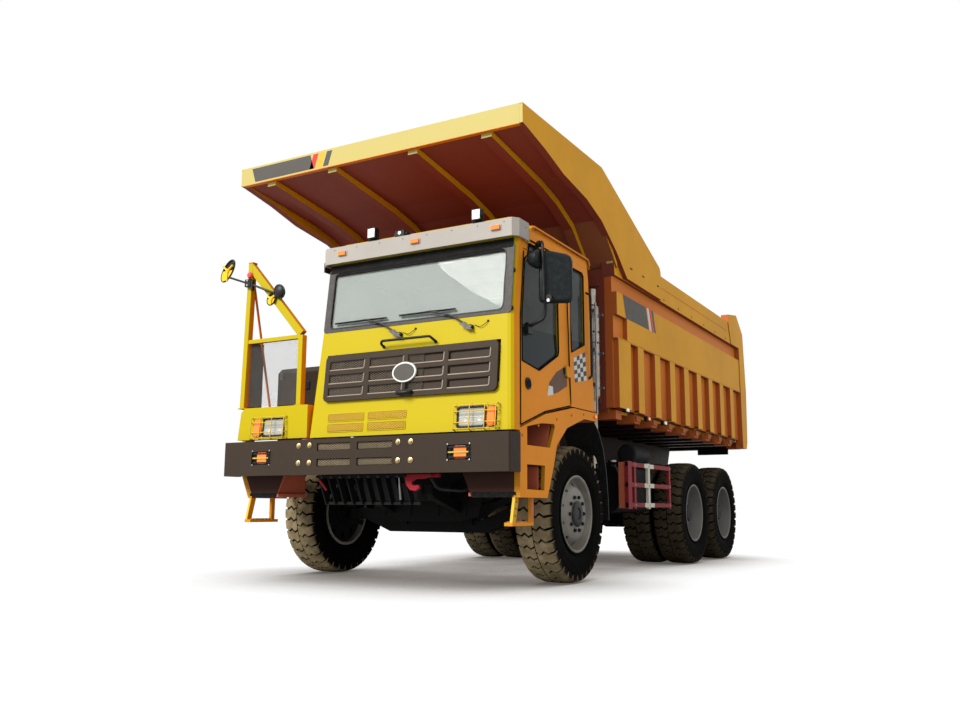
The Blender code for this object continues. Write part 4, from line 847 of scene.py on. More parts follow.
g = Piece("grille latch", "plastic", "grille", "black_plastic", bevel=0.003)
front(g, [(0.40, 1.775), (0.60, 1.775), (0.59, 1.815), (0.41, 1.815)], 0.028, 0.040)
g.tube([(0.42, fy(1.78) - 0.045, 1.795), (0.47, fy(1.78) - 0.075, 1.782), (0.54, fy(1.78) - 0.075, 1.782), (0.59, fy(1.78) - 0.045, 1.795)], 0.012, 10, round_r=0.02)
g.rod((0.505, fy(1.81) - 0.035, 1.80), (0.505, fy(1.86) - 0.034, 1.882), 0.011, 10)
g.done()

# ------------------------------------------------------------------ front panel: vents, lamps, handle, wipers, surround
M["vent"] = paint("vent plate", (0.20, 0.060, 0.006), amount=0.1, rough=0.5, coat=0)
v = Piece("lower vents", "vent", bevel=0.0)
for x0, x1 in ((-0.40, 0.02), (0.08, 0.51)):
    for z0, z1 in ((1.555, 1.622), (1.452, 1.522)):
        front(v, rounded(x0, x1, z0, z1, 0.01, 3), -0.001, 0.0012)
        ring(v, rounded(x0 - 0.008, x1 + 0.008, z0 - 0.008, z1 + 0.008, 0.015, 3), rounded(x0, x1, z0, z1, 0.01, 3), -0.001, 0.006, "cab_yellow")
        net(v, x0 + 0.004, x1 - 0.004, z0 + 0.003, z1 - 0.003, lambda u, w: (u, fy(w) - 0.003, w), 0.036, 0.0050, "mesh_yellow")
v.done()


def headlamp(tag, x0, x1, i0, i1):
    """Rectangular lamp in its recess, indicator beside it and a wire guard over both."""
    p = Piece(f"headlamp {tag}", "plastic", slot="black_plastic")
    p.box(x0, x1, -1.408, -1.397, 1.433, 1.617)
    ring(p, rounded(x0 - 0.006, x1 + 0.006, 1.424, 1.626, 0.03), rounded(x0 + 0.016, x1 - 0.016, 1.446, 1.604, 0.022), 0.001, 0.012)
    ring(p, rounded(x0 + 0.003, x1 - 0.003, 1.433, 1.617, 0.025), rounded(x0 + 0.016, x1 - 0.016, 1.446, 1.604, 0.022), -0.038, 0.002)
    third = (x1 - x0) / 2
    for k in range(2):
        cx = x0 + third * (k + 0.5)
        prof = [(-1.412, 0.0), (-1.412, 0.020), (-1.418, 0.042), (-1.432, 0.058), (-1.436, 0.060), (-1.430, 0.062), (-1.409, 0.045), (-1.409, 0.0)]
        p.turned(prof, (cx, 0, 1.525), "y", 28, "dim_chrome")
        p.ball((cx, -1.424, 1.525), 0.011, 12, (1, 1.2, 1), "clear")
    front(p, rounded(x0 + 0.014, x1 - 0.014, 1.444, 1.606, 0.022), 0.003, 0.009, "lamp_lens")
    front(p, rounded(x0 + 0.012, x1 - 0.012, 1.522, 1.528, 0.002, 1), 0.009, 0.0105, "chrome")
    p.done()
    p = Piece(f"indicator {tag}", "plastic", slot="black_plastic")
    front(p, rounded(i0 - 0.006, i1 + 0.006, 1.430, 1.620, 0.035), 0.0005, 0.006)
    front(p, rounded(i0, i1, 1.437, 1.613, 0.032, 6), 0.005, 0.020, "amber")
    front(p, rounded(i0 + 0.010, i1 - 0.010, 1.447, 1.603, 0.025, 6), 0.019, 0.028, "amber")
    p.done()
    a, b = min(x0, i0) - 0.03, max(x1, i1) + 0.03
    p = Piece(f"lamp guard {tag}", "mesh_yellow", slot="yellow_paint")
    o = lambda x, z, d=0.046: (x, fy(z) - d, z)
    for z in (1.418, 1.475, 1.575, 1.630):
        p.tube([o(a, z, -0.002), o(a, z), o(b, z), o(b, z, -0.002)], 0.0042, 8, round_r=0.02)
    for x in (a + 0.012, (x0 + x1) / 2, (x1 + i0) / 2 if i0 > x0 else (x0 + i1) / 2, b - 0.012):
        p.tube([o(x, 1.403, -0.002), o(x, 1.408, 0.040), o(x, 1.42, 0.050), o(x, 1.628, 0.050), o(x, 1.644, -0.002)], 0.0042, 8, round_r=0.012)
    for x in (a, b):
        for z in (1.418, 1.475, 1.575, 1.630):
            p.turned([(fy(z) + 0.001, 0.0), (fy(z) + 0.001, 0.009), (fy(z) - 0.006, 0.009), (fy(z) - 0.006, 0.0)], (x, 0, z), "y", 10)
    p.done()


M["lamp_lens"] = glass("lamp lens", (0.46, 0.47, 0.45), 0.45)
headlamp("left", 1.08, 1.37, 1.388, 1.474)
headlamp("right", -1.24, -0.95, -1.352, -1.258)

h = Piece("bonnet handle", "plastic", slot="black_plastic")
h.tube([(0.205, fy(2.26) + 0.002, 2.256), (0.205, fy(2.26) - 0.05, 2.270), (0.225, fy(2.3) - 0.075, 2.298), (0.77, fy(2.3) - 0.075, 2.298), (0.795, fy(2.26) - 0.05, 2.270), (0.795, fy(2.26) + 0.002, 2.256)], 0.0125, 12, round_r=0.03)
for x in (0.205, 0.795):
    front(h, oval(x, 2.252, 0.016, 0.016, 20), -0.001, 0.006)
h.done()

w = Piece("windscreen surround", "grey", slot="black_plastic", bevel=0.002)
ring(w, rounded(-0.560, 1.580, 2.455, 3.132, 0.035, 5), rounded(-0.478, 1.492, 2.498, 3.085, 0.05, 5), -0.004, 0.004)
ring(w, rounded(-0.488, 1.502, 2.488, 3.095, 0.055, 5), rounded(-0.476, 1.490, 2.500, 3.083, 0.05, 5), -0.014, 0.007, "plastic")
# black trim with the visor's shadow painted on it as a dark band
front(w, [(-0.50, 3.055), (1.52, 3.055), (1.52, 3.10), (-0.50, 3.10)], -0.012, 0.0035, "deep")
front(w, [(-0.545, 3.085), (1.565, 3.085), (1.565, 3.172), (-0.545, 3.172)], -0.002, 0.0085, "deep")
w.done()


def wiper(n, pivot, arm, x0, x1, zb):
    p = Piece(f"wiper {n}", "plastic", slot="black_plastic")
    px_, pz = pivot
    y = lambda z, d: fy(z) - d
    p.rod((px_, y(pz, -0.004), pz), (px_, y(pz, 0.034), pz + 0.004), 0.026, 20, 0.021, "plastic")
    p.rod((px_, y(pz, 0.034), pz), (px_, y(pz, 0.043), pz + 0.002), 0.015, 16, 0.012, "arm")
    p.hexa([(px_ - 0.030, y(pz, 0.022), pz - 0.020), (px_ + 0.030, y(pz, 0.022), pz - 0.030), (px_ + 0.030, y(pz, 0.046), pz - 0.030), (px_ - 0.030, y(pz, 0.046), pz - 0.020)],
           [(px_ - 0.11, y(pz, 0.028), pz + 0.035), (px_ - 0.05, y(pz, 0.028), pz + 0.05), (px_ - 0.05, y(pz, 0.050), pz + 0.05), (px_ - 0.11, y(pz, 0.050), pz + 0.035)], "arm")
    p.tube([(px_ - 0.05, y(pz, 0.040), pz + 0.03), (px_ - 0.20, y(arm[1], 0.045), (pz + arm[1]) / 2 + 0.03), (arm[0], y(arm[1], 0.034), arm[1])], 0.009, 10, round_r=0.05)
    mid = arm[0]
    p.tube([(mid, y(zb, 0.034), zb), (mid, y(zb, 0.026), zb)], 0.010, 8)
    for a, b in ((x0, mid - 0.10), (mid + 0.10, x1)):
        c = (a + b) / 2
        p.tube([(c, y(zb, 0.018), zb), (mid, y(zb, 0.030), zb + 0.002)], 0.005, 6)
        p.tube([(a, y(zb, 0.012), zb), (c, y(zb, 0.021), zb + 0.001), (b, y(zb, 0.012), zb)], 0.0045, 6, round_r=0.03)
    p.box(x0 - 0.02, x1 + 0.02, y(zb, 0.012), y(zb, 0.006), zb - 0.008, zb + 0.008)
    p.box(x0 - 0.02, x1 + 0.02, y(zb, 0.007), y(zb, -0.008), zb - 0.003, zb + 0.003, "tyre")
    p.tube([(px_ + 0.03, y(pz, 0.004), pz + 0.02), (px_ + 0.10, y(pz, 0.018), pz - 0.01), (px_ + 0.16, y(pz, 0.010), pz + 0.03), (px_ + 0.17, y(pz, -0.002), pz + 0.045)], 0.003, 6, round_r=0.03)
    p.ball((px_ + 0.17, y(pz + 0.045, 0.002), pz + 0.045), 0.011, 10)
    p.done()


wiper(1, (0.39, 2.357), (-0.016, 2.544), -0.40, 0.19, 2.544)
wiper(2, (1.177, 2.354), (0.73, 2.551), 0.38, 0.97, 2.550)

# ------------------------------------------------------------------ bumper
b = Piece("bumper fittings", "brass", slot="steel")
BF = -1.547
for x in (-0.669, -0.533, 0.509, 0.648):
    for z in (1.318, 1.150):
        b.turned([(BF - 0.0005, 0.0), (BF - 0.0005, 0.026), (BF - 0.004, 0.026), (BF - 0.006, 0.019), (BF - 0.016, 0.014), (BF - 0.019, 0.0)], (x, 0, z), "y", 20)
for x0, x1 in ((-0.435, -0.045), (0.045, 0.435)):
    for z0, z1 in ((1.268, 1.332), (1.118, 1.182)):
        net(b, x0, x1, z0, z1, lambda u, q: (u, BF + 0.016, q), 0.036, 0.0034, "mesh_brass")
        # a black plate behind the mesh, standing in for the shade inside the bumper
        b.box(x0 - 0.01, x1 + 0.01, BF + 0.032, BF + 0.036, z0 - 0.008, z1 + 0.008, "deep")
M["mesh_brass"] = metal("brass mesh", (0.36, 0.30, 0.21), 0.5, 0.4)
b.done()
for tag, x0, x1 in (("left", 1.03, 1.28), ("right", -1.28, -1.03)):
    p = Piece(f"fog lamp {tag}", "plastic", slot="black_plastic")
    p.box(x0 + 0.003, x1 - 0.003, -1.527, -1.5155, 1.148, 1.272)
    lx = x0 + (0.075 if tag == "left" else 0.07)
    rx = x1 - (0.05 if tag == "left" else 0.06)
    p.prism(rounded(lx, rx, 1.155, 1.265, 0.012, 3), "y", -1.545, -1.526, "amber")
    for z in (1.165, 1.210, 1.255):
        p.box(x0 + 0.02, x1 - 0.02, -1.556, -1.550, z - 0.006, z + 0.006, "mesh_yellow" if z == 1.210 else "plastic")
        for x in (x0 + 0.04, lx - 0.012):
            p.rod((x, -1.552, z), (x, -1.526, z), 0.013, 10)
    for x in (x0 + 0.012, x1 - 0.012):
        p.tube([(x, -1.535, 1.150), (x, -1.560, 1.158), (x, -1.560, 1.262), (x, -1.535, 1.270)], 0.0055, 8, round_r=0.01)
        for z in (1.140, 1.280):
            p.turned([(BF - 0.0005, 0.0), (BF - 0.0005, 0.010), (BF - 0.007, 0.008), (BF - 0.009, 0.0)], (x, 0, z), "y", 12, "steel")
    p.done()
p = Piece("tow hook", "hook_red", slot="guard_red", bevel=0.004)
M["hook_red"] = paint("hook red", (0.23, 0.010, 0.02), amount=0.15, rough=0.45)
p.prism([(0.50, 1.03), (0.80, 1.03), (0.80, 1.005), (0.70, 0.985), (0.62, 0.985), (0.585, 0.955), (0.60, 0.925), (0.665, 0.93), (0.675, 0.905), (0.63, 0.875), (0.57, 0.885), (0.53, 0.93), (0.515, 0.985)], "y", -1.435, -1.395)
p.tube([(-0.49, -1.445, 1.0), (-0.44, -1.38, 0.89)], 0.012, 8)
p.box(0.78, 0.86, -1.40, -1.36, 1.0, 1.033)
p.done()
p = Piece("skid guard nuts", "engine", slot="steel")
for k in range(9):
    x = -0.447 + 0.111 * k
    p.rod((x - 0.012, -1.440, 1.016), (x + 0.012, -1.440, 1.016), 0.018, 10)
p.rod((-0.51, -1.440, 1.016), (0.51, -1.440, 1.016), 0.007, 8)
p.done()

# ------------------------------------------------------------------ roof lamps, visor markers
p = Piece("roof work lamps", "plastic", slot="black_plastic", bevel=0.004)
for x, lean in ((-0.09, 0.0), (1.136, 0.0)):
    z = 3.475
    p.box(x - 0.050, x + 0.050, -1.23, -1.165, z - 0.055, z + 0.055)
    for k in range(5):
        p.box(x - 0.044, x + 0.044, -1.165, -1.150, z - 0.045 + 0.02 * k, z - 0.037 + 0.02 * k)
    p.box(x - 0.041, x + 0.041, -1.234, -1.229, z - 0.046, z + 0.046, "clear")
    p.tube([(x - 0.056, -1.195, z), (x - 0.056, -1.195, z - 0.072), (x + 0.056, -1.195, z - 0.072), (x + 0.056, -1.195, z)], 0.006, 6, round_r=0.01)
    p.rod((x, -1.195, 3.385), (x, -1.195, z - 0.068), 0.012, 10)
p.box(0.19, 0.35, -1.23, -1.17, 3.405, 3.425)
p.box(0.215, 0.325, -1.245, -1.18, 3.385, 3.445)
p.rod((0.27, -1.25, 3.418), (0.27, -1.235, 3.418), 0.018, 14, None, "clear")
p.done()
p = Piece("visor markers", "amber", slot="amber_lens", bevel=0.006)
for x in (-0.359, 0.527, 1.415):
    p.box(x - 0.060, x + 0.060, -1.349, -1.3448, 3.243, 3.293, "white")
    p.box(x - 0.046, x + 0.046, -1.366, -1.348, 3.248, 3.288)
p.done()
p = Piece("visor rivets", "steel", slot="steel")
for k in range(8):
    p.ball((-0.46 + 0.28 * k, -1.346, 3.315), 0.006, 8)
for s_, x in ((1, 1.633), (-1, -0.626)):
    for z in (3.16, 3.29):
        p.ball((x, -1.16, z), 0.008, 8)
p.box(-0.640, -0.627, -1.285, -1.18, 3.12, 3.22, "plastic")
p.done()

# ------------------------------------------------------------------ cab side
p = Piece("door trim", "cab_yellow", "door_left", "yellow_paint", bevel=0.004)
side(p, rounded(-0.300, -0.215, 2.00, 2.115, 0.02), 0.0005, 0.022)
# a dark patch beside the handle, painted as its shadow
side(p, rounded(-0.335, -0.285, 2.03, 2.09, 0.012), 0.0005, 0.008, "deep")
side(p, oval(-1.135, 1.836, 0.052, 0.055, 28), 0.0005, 0.014, "plastic")
side(p, oval(-1.135, 1.836, 0.036, 0.038, 28), 0.013, 0.019, "deep")
side(p, [(-0.735, 1.768), (-0.50, 1.822), (-0.262, 1.915), (-0.262, 2.118), (-0.50, 2.024), (-0.668, 1.907), (-0.715, 1.816)], 0.0004, 0.0014, "decal_brown")
side(p, [(-0.735, 1.768), (-0.60, 1.79), (-0.60, 1.87), (-0.69, 1.87), (-0.715, 1.816)], 0.0014, 0.0020, "decal_white")
p.done()
p = Piece("door seals", "tyre", "door_left", "rubber")
for path in (
    [(-1.325, 1.452), (-1.315, 1.47), (-1.221, 2.45), (-1.150, 3.07)],
    [(-1.318, 1.4485), (-0.80, 1.612), (-0.21, 1.724)],
    [(-1.06, 3.118), (-1.03, 3.207), (-0.21, 3.207), (-0.2, 1.74)],
):
    p.tube([(sx(z) + 0.002, y, z) for y, z in path], 0.0065, 8)
p.tube([(sx(z) + 0.001, y, z) for y, z in [(-1.228, 2.035), (-0.882, 1.990), (-0.444, 2.194), (-0.424, 2.24), (-0.424, 3.15), (-0.452, 3.172), (-1.018, 3.172), (-1.052, 3.138), (-1.074, 3.05), (-1.131, 3.01), (-1.192, 2.45)]], 0.008, 8, closed=True)
p.done()
p = Piece("quarter seals", "tyre", "chassis", "rubber")
p.tube([(sx(z) + 0.001, y, z) for y, z in [(-0.111, 2.276), (0.231, 2.405), (0.231, 3.138), (0.198, 3.171), (-0.111, 3.171)]], 0.008, 8, closed=True)
p.tube([(-sx(z) + 1.015 - 0.016 if z > 2.45 else -0.592 - 0.004, y, z) for y, z in [(-1.0, 2.25), (-0.95, 2.2), (0.05, 2.2), (0.10, 2.25), (0.10, 3.08), (0.05, 3.13), (-0.95, 3.13), (-1.0, 3.08)]], 0.008, 8, closed=True)
p.done()
p = Piece("chequer decal", "decal_grey", slot="decal")
Q = [(-0.063, 1.975), (0.243, 2.035), (0.243, 2.334), (-0.063, 2.225)]


def quad(u, v_):
    a = [Q[0][i] * (1 - u) + Q[1][i] * u for i in (0, 1)]
    c = [Q[3][i] * (1 - u) + Q[2][i] * u for i in (0, 1)]
    return (a[0] * (1 - v_) + c[0] * v_, a[1] * (1 - v_) + c[1] * v_)


for i in range(4):
    for j in range(6):
        o = [quad(i / 4, j / 6), quad((i + 1) / 4, j / 6), quad((i + 1) / 4, (j + 1) / 6), quad(i / 4, (j + 1) / 6)]
        side(p, o, 0.0004, 0.0014, "decal_white" if (i + j) % 2 else "decal_grey")
p.done()
p = Piece("gutter rail", "cab_yellow", slot="yellow_paint")
p.tube([(1.612, -1.075, 3.16), (1.618, -1.07, 3.30), (1.612, -0.98, 3.352), (1.608, -0.2, 3.352), (1.604, 0.36, 3.352), (1.598, 0.405, 3.30)], 0.014, 10, round_r=0.06)
for y in (-0.9, -0.4, 0.1):
    p.box(1.585, 1.61, y - 0.015, y + 0.015, 3.34, 3.358)
p.tube([(1.52, 0.405, 3.39), (-0.50, 0.405, 3.39)], 0.012, 8)
p.done()
p = Piece("cab hinges", "plastic", "door_left", "black_plastic", bevel=0.003)
for z in (2.50, 2.86):
    y = float(np.interp(z, (2.45, 3.14), (-1.222, -1.147)))
    p.box(1.600, 1.612, y, y + 0.012, z - 0.035, z + 0.035)
p.done()
p = Piece("pillar buttons", "plastic", slot="black_plastic")
for z in (2.50, 2.86):
    p.ball((1.576, fy(z) + 0.012, z), 0.018, 12, (1, 0.8, 1.3))
p.done()
p = Piece("cab grab rail", "plastic", slot="black_plastic")
p.tube([(1.602, 0.30, 2.05), (1.650, 0.31, 2.08), (1.650, 0.31, 2.95), (1.602, 0.30, 2.98)], 0.012, 10, round_r=0.03)
p.done()

# mirror on the door
p = Piece("door mirror", "mirror_case", "door_left", "black_plastic", bevel=0.012, segments=3)
M["mirror_case"] = plastic("mirror case", (0.005, 0.0075, 0.009), 0.40)
A, B = Vector((1.726, -1.089)), Vector((2.003, -0.950))
along = (B - A).normalized()
out = Vector((along.y, -along.x))
W = (B - A).length


def head(u, d, z):
    q = A + along * u + out * d
    return (q.x, q.y, z)


outline = [(0.0, 2.62), (0.022, 2.585), (0.05, 2.578), (W - 0.045, 2.578), (W - 0.012, 2.592), (W, 2.63), (W, 2.96), (W - 0.015, 3.01), (W - 0.055, 3.034), (0.07, 3.072), (0.03, 3.06), (0.0, 3.02)]
shrink = [((u - W / 2) * 0.90 + W / 2, (z - 2.82) * 0.93 + 2.82) for u, z in outline]
n = len(outline)
vv = [head(u, -0.040, z) for u, z in outline] + [head(u, 0.012, z) for u, z in outline] + [head(u, 0.038, z) for u, z in shrink]
ff = [tuple(reversed(range(n))), tuple(range(2 * n, 3 * n))]
for r_0 in (0, n):
    ff += [(r_0 + i, r_0 + (i + 1) % n, r_0 + n + (i + 1) % n, r_0 + n + i) for i in range(n)]
p.add(vv, ff)
p.done("mirror_left")
p = Piece("door mirror arms", "plastic", "door_left", "black_plastic")
p.tube([(1.612, -1.08, 2.37), (1.66, -1.082, 2.385), (1.772, -1.075, 2.43), (1.786, -1.075, 2.52), (1.790, -1.105, 2.60)], 0.016, 12, round_r=0.06)
p.tube([(1.790, -1.112, 2.59), (1.783, -1.118, 3.0), (1.775, -1.11, 3.085)], 0.015, 12)
p.tube([(1.775, -1.11, 3.07), (1.772, -1.10, 3.135), (1.735, -1.06, 3.165), (1.66, -0.99, 3.150), (1.606, -0.94, 3.10)], 0.014, 12, round_r=0.05)
p.ball((1.700, -1.025, 3.158), 0.032, 14)
p.ball((1.655, -0.985, 3.145), 0.026, 14)
p.box(1.6015, 1.635, -1.125, -1.035, 2.30, 2.40)
p.box(1.6015, 1.622, -0.975, -0.895, 3.05, 3.13)
p.rod((1.60, -0.935, 3.10), (1.622, -0.935, 3.10), 0.02, 12)
prof = [(1.618, 0.0), (1.622, 0.018), (1.66, 0.062), (1.70, 0.085), (1.74, 0.09), (1.762, 0.075), (1.762, 0.0)]
p.turned(prof, (0, -1.115, 2.985), "x", 28, "mirror_case")
p.rod((1.835, -1.125, 2.585), (1.835, -1.110, 2.585), 0.016, 12, None, "steel")
p.rod((1.835, -1.112, 2.615), (1.835, -1.06, 2.615), 0.028, 16)
p.done()
p = Piece("door mirror glass", "mirror", "door_left", "glass")
vv = [head(u, -0.0405, z) for u, z in shrink] + [head(u, -0.0435, z) for u, z in shrink]
p.add(vv, [tuple(reversed(range(n))), tuple(range(n, 2 * n))] + [(i, (i + 1) % n, n + (i + 1) % n, n + i) for i in range(n)])
p.done()

# ------------------------------------------------------------------ cab interior
def pad(name, centre, size, tilt=0.0, crown=0.02, channels=(), n=18, power=5.0, material="seat"):
    """A padded block: rounded sides that pull in, a crowned face and sewn channels across it."""
    v, f, seen = [], [], {}
    w, d, h = (c / 2 for c in size)

    def put(a, b, c):
        key = (round(a, 5), round(b, 5), round(c, 5))
        if key in seen:
            return seen[key]
        k = (abs(a) ** power + abs(b) ** power + abs(c) ** power) ** (-1 / power)
        q = [a * k, b * k, c * k]
        x, y, z = q[0] * w, q[1] * d, q[2] * h
        if c > 0:
            z += crown * (1 - a * a) * (1 - b * b) * c
            for axis_, at, deep in channels:
                t = (a if axis_ == "x" else b) - at
                z -= deep * math.exp(-((t / 0.045) ** 2)) * c * (1 - max(abs(a), abs(b)) ** 8)
        ct, st = math.cos(tilt), math.sin(tilt)
        y, z = y * ct - z * st, y * st + z * ct
        seen[key] = len(v)
        v.append((centre[0] + x, centre[1] + y, centre[2] + z))
        return seen[key]

    g_ = [2 * i / n - 1 for i in range(n + 1)]
    for fix, sign in ((0, 1), (0, -1), (1, 1), (1, -1), (2, 1), (2, -1)):
        for i in range(n):
            for j in range(n):
                q = []
                for a, b in ((g_[i], g_[j]), (g_[i + 1], g_[j]), (g_[i + 1], g_[j + 1]), (g_[i], g_[j + 1])):
                    p_ = [a, b]
                    p_.insert(fix, sign)
                    q.append(put(*p_))
                f.append(tuple(q) if (sign > 0) != (fix == 1) else tuple(reversed(q)))
    piece = Piece(name, material, slot="seat_fabric" if "seat_fabric" in SLOTS else None, smooth=60)
    piece.add(v, f)
    obj = piece.done()
    return obj


CH = (("x", -0.55, 0.012), ("x", 0.55, 0.012), ("y", -0.35, 0.010), ("y", 0.1, 0.010), ("y", 0.5, 0.010))
seat_parts = [
    pad("seat cushion", (1.05, -0.365, 2.145), (0.49, 0.49, 0.125), 0.05, 0.022, CH),
    pad("seat back", (1.05, -0.098, 2.45), (0.45, 0.66, 0.115), math.radians(97), 0.018, (("x", -0.6, 0.012), ("x", 0.6, 0.012), ("y", -0.5, 0.010), ("y", -0.1, 0.010), ("y", 0.3, 0.010))),
    pad("seat headrest", (1.05, -0.045, 2.875), (0.23, 0.20, 0.085), math.radians(96), 0.014, (("x", 0.0, 0.006),), 12, 4.0, "seat_light"),
]
p = Piece("seat frame", "plastic", slot="black_plastic", bevel=0.006)
p.box(0.90, 1.20, -0.53, -0.22, 1.786, 1.85)
for k in range(6):
    z = 1.86 + 0.035 * k
    e = 0.012 * (k % 2)
    p.box(0.91 + e, 1.19 - e, -0.52 + e, -0.23 - e, z, z + 0.034, "deep")
p.box(0.87, 1.23, -0.56, -0.17, 2.065, 2.085)
for x in (0.98, 1.12):
    p.rod((x, -0.06, 2.75), (x, -0.05, 2.84), 0.007, 8, None, "steel")
for x in (0.80, 1.30):
    p.rod((x, -0.16, 2.10), (x, -0.10, 2.22), 0.022, 12)
seat_frame = p.done()
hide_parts("driver_seat")
for x0, x1 in ((-0.25, 0.25),):
    pad("passenger cushion", (0.0, -0.33, 2.06), (0.46, 0.46, 0.12), 0.03, 0.02, CH, 14, 5.0, "seat_light")
    pad("passenger back", (0.0, -0.06, 2.38), (0.44, 0.60, 0.11), math.radians(97), 0.016, (("x", -0.6, 0.012), ("x", 0.6, 0.012), ("y", 0.2, 0.010)), 14, 5.0, "seat_light")
p = Piece("passenger seat box", "plastic", slot="black_plastic", bevel=0.01)
p.box(-0.22, 0.22, -0.53, -0.10, 1.787, 2.00)
p.box(0.35, 0.70, -0.70, 0.05, 1.787, 1.97)
p.tube([(0.52, -0.60, 1.96), (0.52, -0.66, 2.15)], 0.012, 8)
p.ball((0.52, -0.665, 2.17), 0.03, 14)
p.done()
p = Piece("steering wheel rim", "plastic", slot="black_plastic", smooth=60)
c0, ax = Vector((1.05, -0.841, 2.3445)), Vector((0, 0.022, 0.017)).normalized()
e1, e2 = Vector((1, 0, 0)), ax.cross(Vector((1, 0, 0)))
p.tube([tuple(c0 + 0.199 * (math.cos(2 * math.pi * k / 40) * e1 + math.sin(2 * math.pi * k / 40) * e2)) for k in range(40)], 0.0145, 10, closed=True)
for a in (0, math.pi, 1.5 * math.pi):
    p.rod(tuple(c0), tuple(c0 + 0.195 * (math.cos(a) * e1 - math.sin(a) * e2)), 0.016, 8, 0.010)
p.rod(tuple(c0 - ax * 0.014), tuple(c0 + ax * 0.02), 0.062, 24, 0.05)
p.done("steering_wheel")
p = Piece("dash fittings", "plastic", slot="black_plastic", bevel=0.004)
p.hexa([(0.80, -1.02, 2.33), (1.30, -1.02, 2.33), (1.30, -1.16, 2.37), (0.80, -1.16, 2.37)], [(0.82, -0.995, 2.43), (1.28, -0.995, 2.43), (1.26, -1.14, 2.455), (0.84, -1.14, 2.455)])
for k, x in enumerate((0.90, 1.01, 1.12, 1.21)):
    p.rod((x, -1.00, 2.385), (x, -0.992, 2.383), 0.042 if k in (1, 2) else 0.026, 20, None, "grey")
p.box(0.10, 0.55, -1.015, -0.985, 2.22, 2.33, "grey")
for k in range(6):
    p.box(0.13 + 0.07 * k, 0.18 + 0.07 * k, -0.99, -0.979, 2.25, 2.30)
p.done()
p = Piece("cab rear shelf", "lining", slot="black_plastic", bevel=0.02)
p.box(-0.52, 1.53, 0.05, 0.325, 1.787, 2.10)
p.box(-0.50, 1.51, 0.30, 0.33, 2.12, 3.05)
p.done()
p = Piece("sun visors", "seat_light", slot="black_plastic", bevel=0.006)
for x0, x1 in ((-0.35, 0.35), (0.70, 1.38)):
    p.hexa([(x0, -1.205, 3.04), (x1, -1.205, 3.04), (x1, -1.19, 3.04), (x0, -1.19, 3.04)], [(x0, -1.185, 3.17), (x1, -1.185, 3.17), (x1, -1.17, 3.17), (x0, -1.17, 3.17)])
p.done()

# ------------------------------------------------------------------ deck, railing, right mirrors
p = Piece("railing", "cab_yellow", slot="yellow_paint", bevel=0.005)
p.hexa([(-1.585, -1.44, 1.7355), (-1.525, -1.44, 1.7355), (-1.525, -1.372, 1.7355), (-1.585, -1.372, 1.7355)], [(-1.548, -1.44, 3.295), (-1.488, -1.44, 3.295), (-1.488, -1.372, 3.295), (-1.548, -1.372, 3.295)])
p.box(-1.552, -1.484, -1.4395, -1.3705, 3.295, 3.309, "rail_orange")
p.hexa([(-0.822, -1.44, 1.7355), (-0.762, -1.44, 1.7355), (-0.762, -1.372, 1.7355), (-0.822, -1.372, 1.7355)], [(-0.822, -1.44, 2.455), (-0.762, -1.44, 2.455), (-0.762, -1.372, 2.455), (-0.822, -1.372, 2.455)])
p.hexa([(-1.520, -1.437, 3.195), (-0.822, -1.437, 2.44), (-0.822, -1.377, 2.44), (-1.520, -1.377, 3.195)], [(-1.498, -1.437, 3.298), (-0.760, -1.437, 2.493), (-0.760, -1.377, 2.493), (-1.498, -1.377, 3.298)])
p.box(-1.555, -0.80, -1.434, -1.388, 2.418, 2.462)
p.tube([(-1.512, -1.385, 3.10), (-1.545, -1.02, 1.752)], 0.013, 10, material="rail_orange")
p.box(-1.5525, -1.5445, -1.385, -1.155, 1.7455, 2.46, "brown")
for x in (-1.555, -0.792):
    p.box(x - 0.055, x + 0.055, -1.442, -1.345, 1.7355, 1.744)
p.done("deck_rail")
p = Piece("railing mesh", "mesh_pale", slot="steel", smooth=0)
net(p, -1.515, -0.83, 1.75, 2.415, lambda u, q: (u, -1.396, q), 0.024, 0.0011)
p.done()
p = Piece("railing marker", "red_lens", slot="red_lens")
p.turned([(-1.4400, 0.0), (-1.4400, 0.036), (-1.450, 0.036), (-1.462, 0.026), (-1.466, 0.0)], (-1.518, 0, 3.165), "y", 24)
p.done()
p = Piece("right mirrors", "mirror_yellow", slot="yellow_paint")
for c, a, b_, turn in (((-1.884, -1.405, 3.268), 0.086, 0.115, 0.5), ((-1.192, -1.452, 2.868), 0.055, 0.062, 0.2), ((-1.085, -1.452, 2.935), 0.068, 0.072, -0.2)):
    m_ = 32
    ct, st = math.cos(turn), math.sin(turn)
    loop = []
    for k in range(m_):
        t = 2 * math.pi * k / m_
        u, q = a * math.cos(t), b_ * math.sin(t)
        loop.append((c[0] + u * ct + q * st, c[1], c[2] - u * st * 0.35 + q * ct if False else c[2] + q))
    p.tube(loop, 0.009, 8, closed=True, material="plastic" if a != 0.068 else "plastic")
    p.prism([(x_, z_) for x_, _, z_ in loop], "y", c[1] + 0.002, c[1] + 0.006, "mirror_dark")
    if a != 0.068:
        for k in range(3):
            t = 2 * math.pi * k / 3 + 0.5
            p.rod((c[0], c[1] - 0.008, c[2]), (c[0] + a * math.cos(t), c[1] - 0.008, c[2] + b_ * math.sin(t)), 0.012, 8)
        p.turned([(-0.018, 0.0), (-0.018, 0.02), (0.0, 0.028), (0.002, 0.0)], c, "y", 20)
        p.prism([(c[0] + (x_ - c[0]) * 0.97, c[2] + (z_ - c[2]) * 0.97) for x_, _, z_ in loop[m_ // 2:] + loop[:1]], "y", c[1] - 0.006, c[1] + 0.001)
    else:
        p.ball((c[0], c[1] - 0.002, c[2]), 0.066, 20, (1, 0.4, 1.05), "plastic")
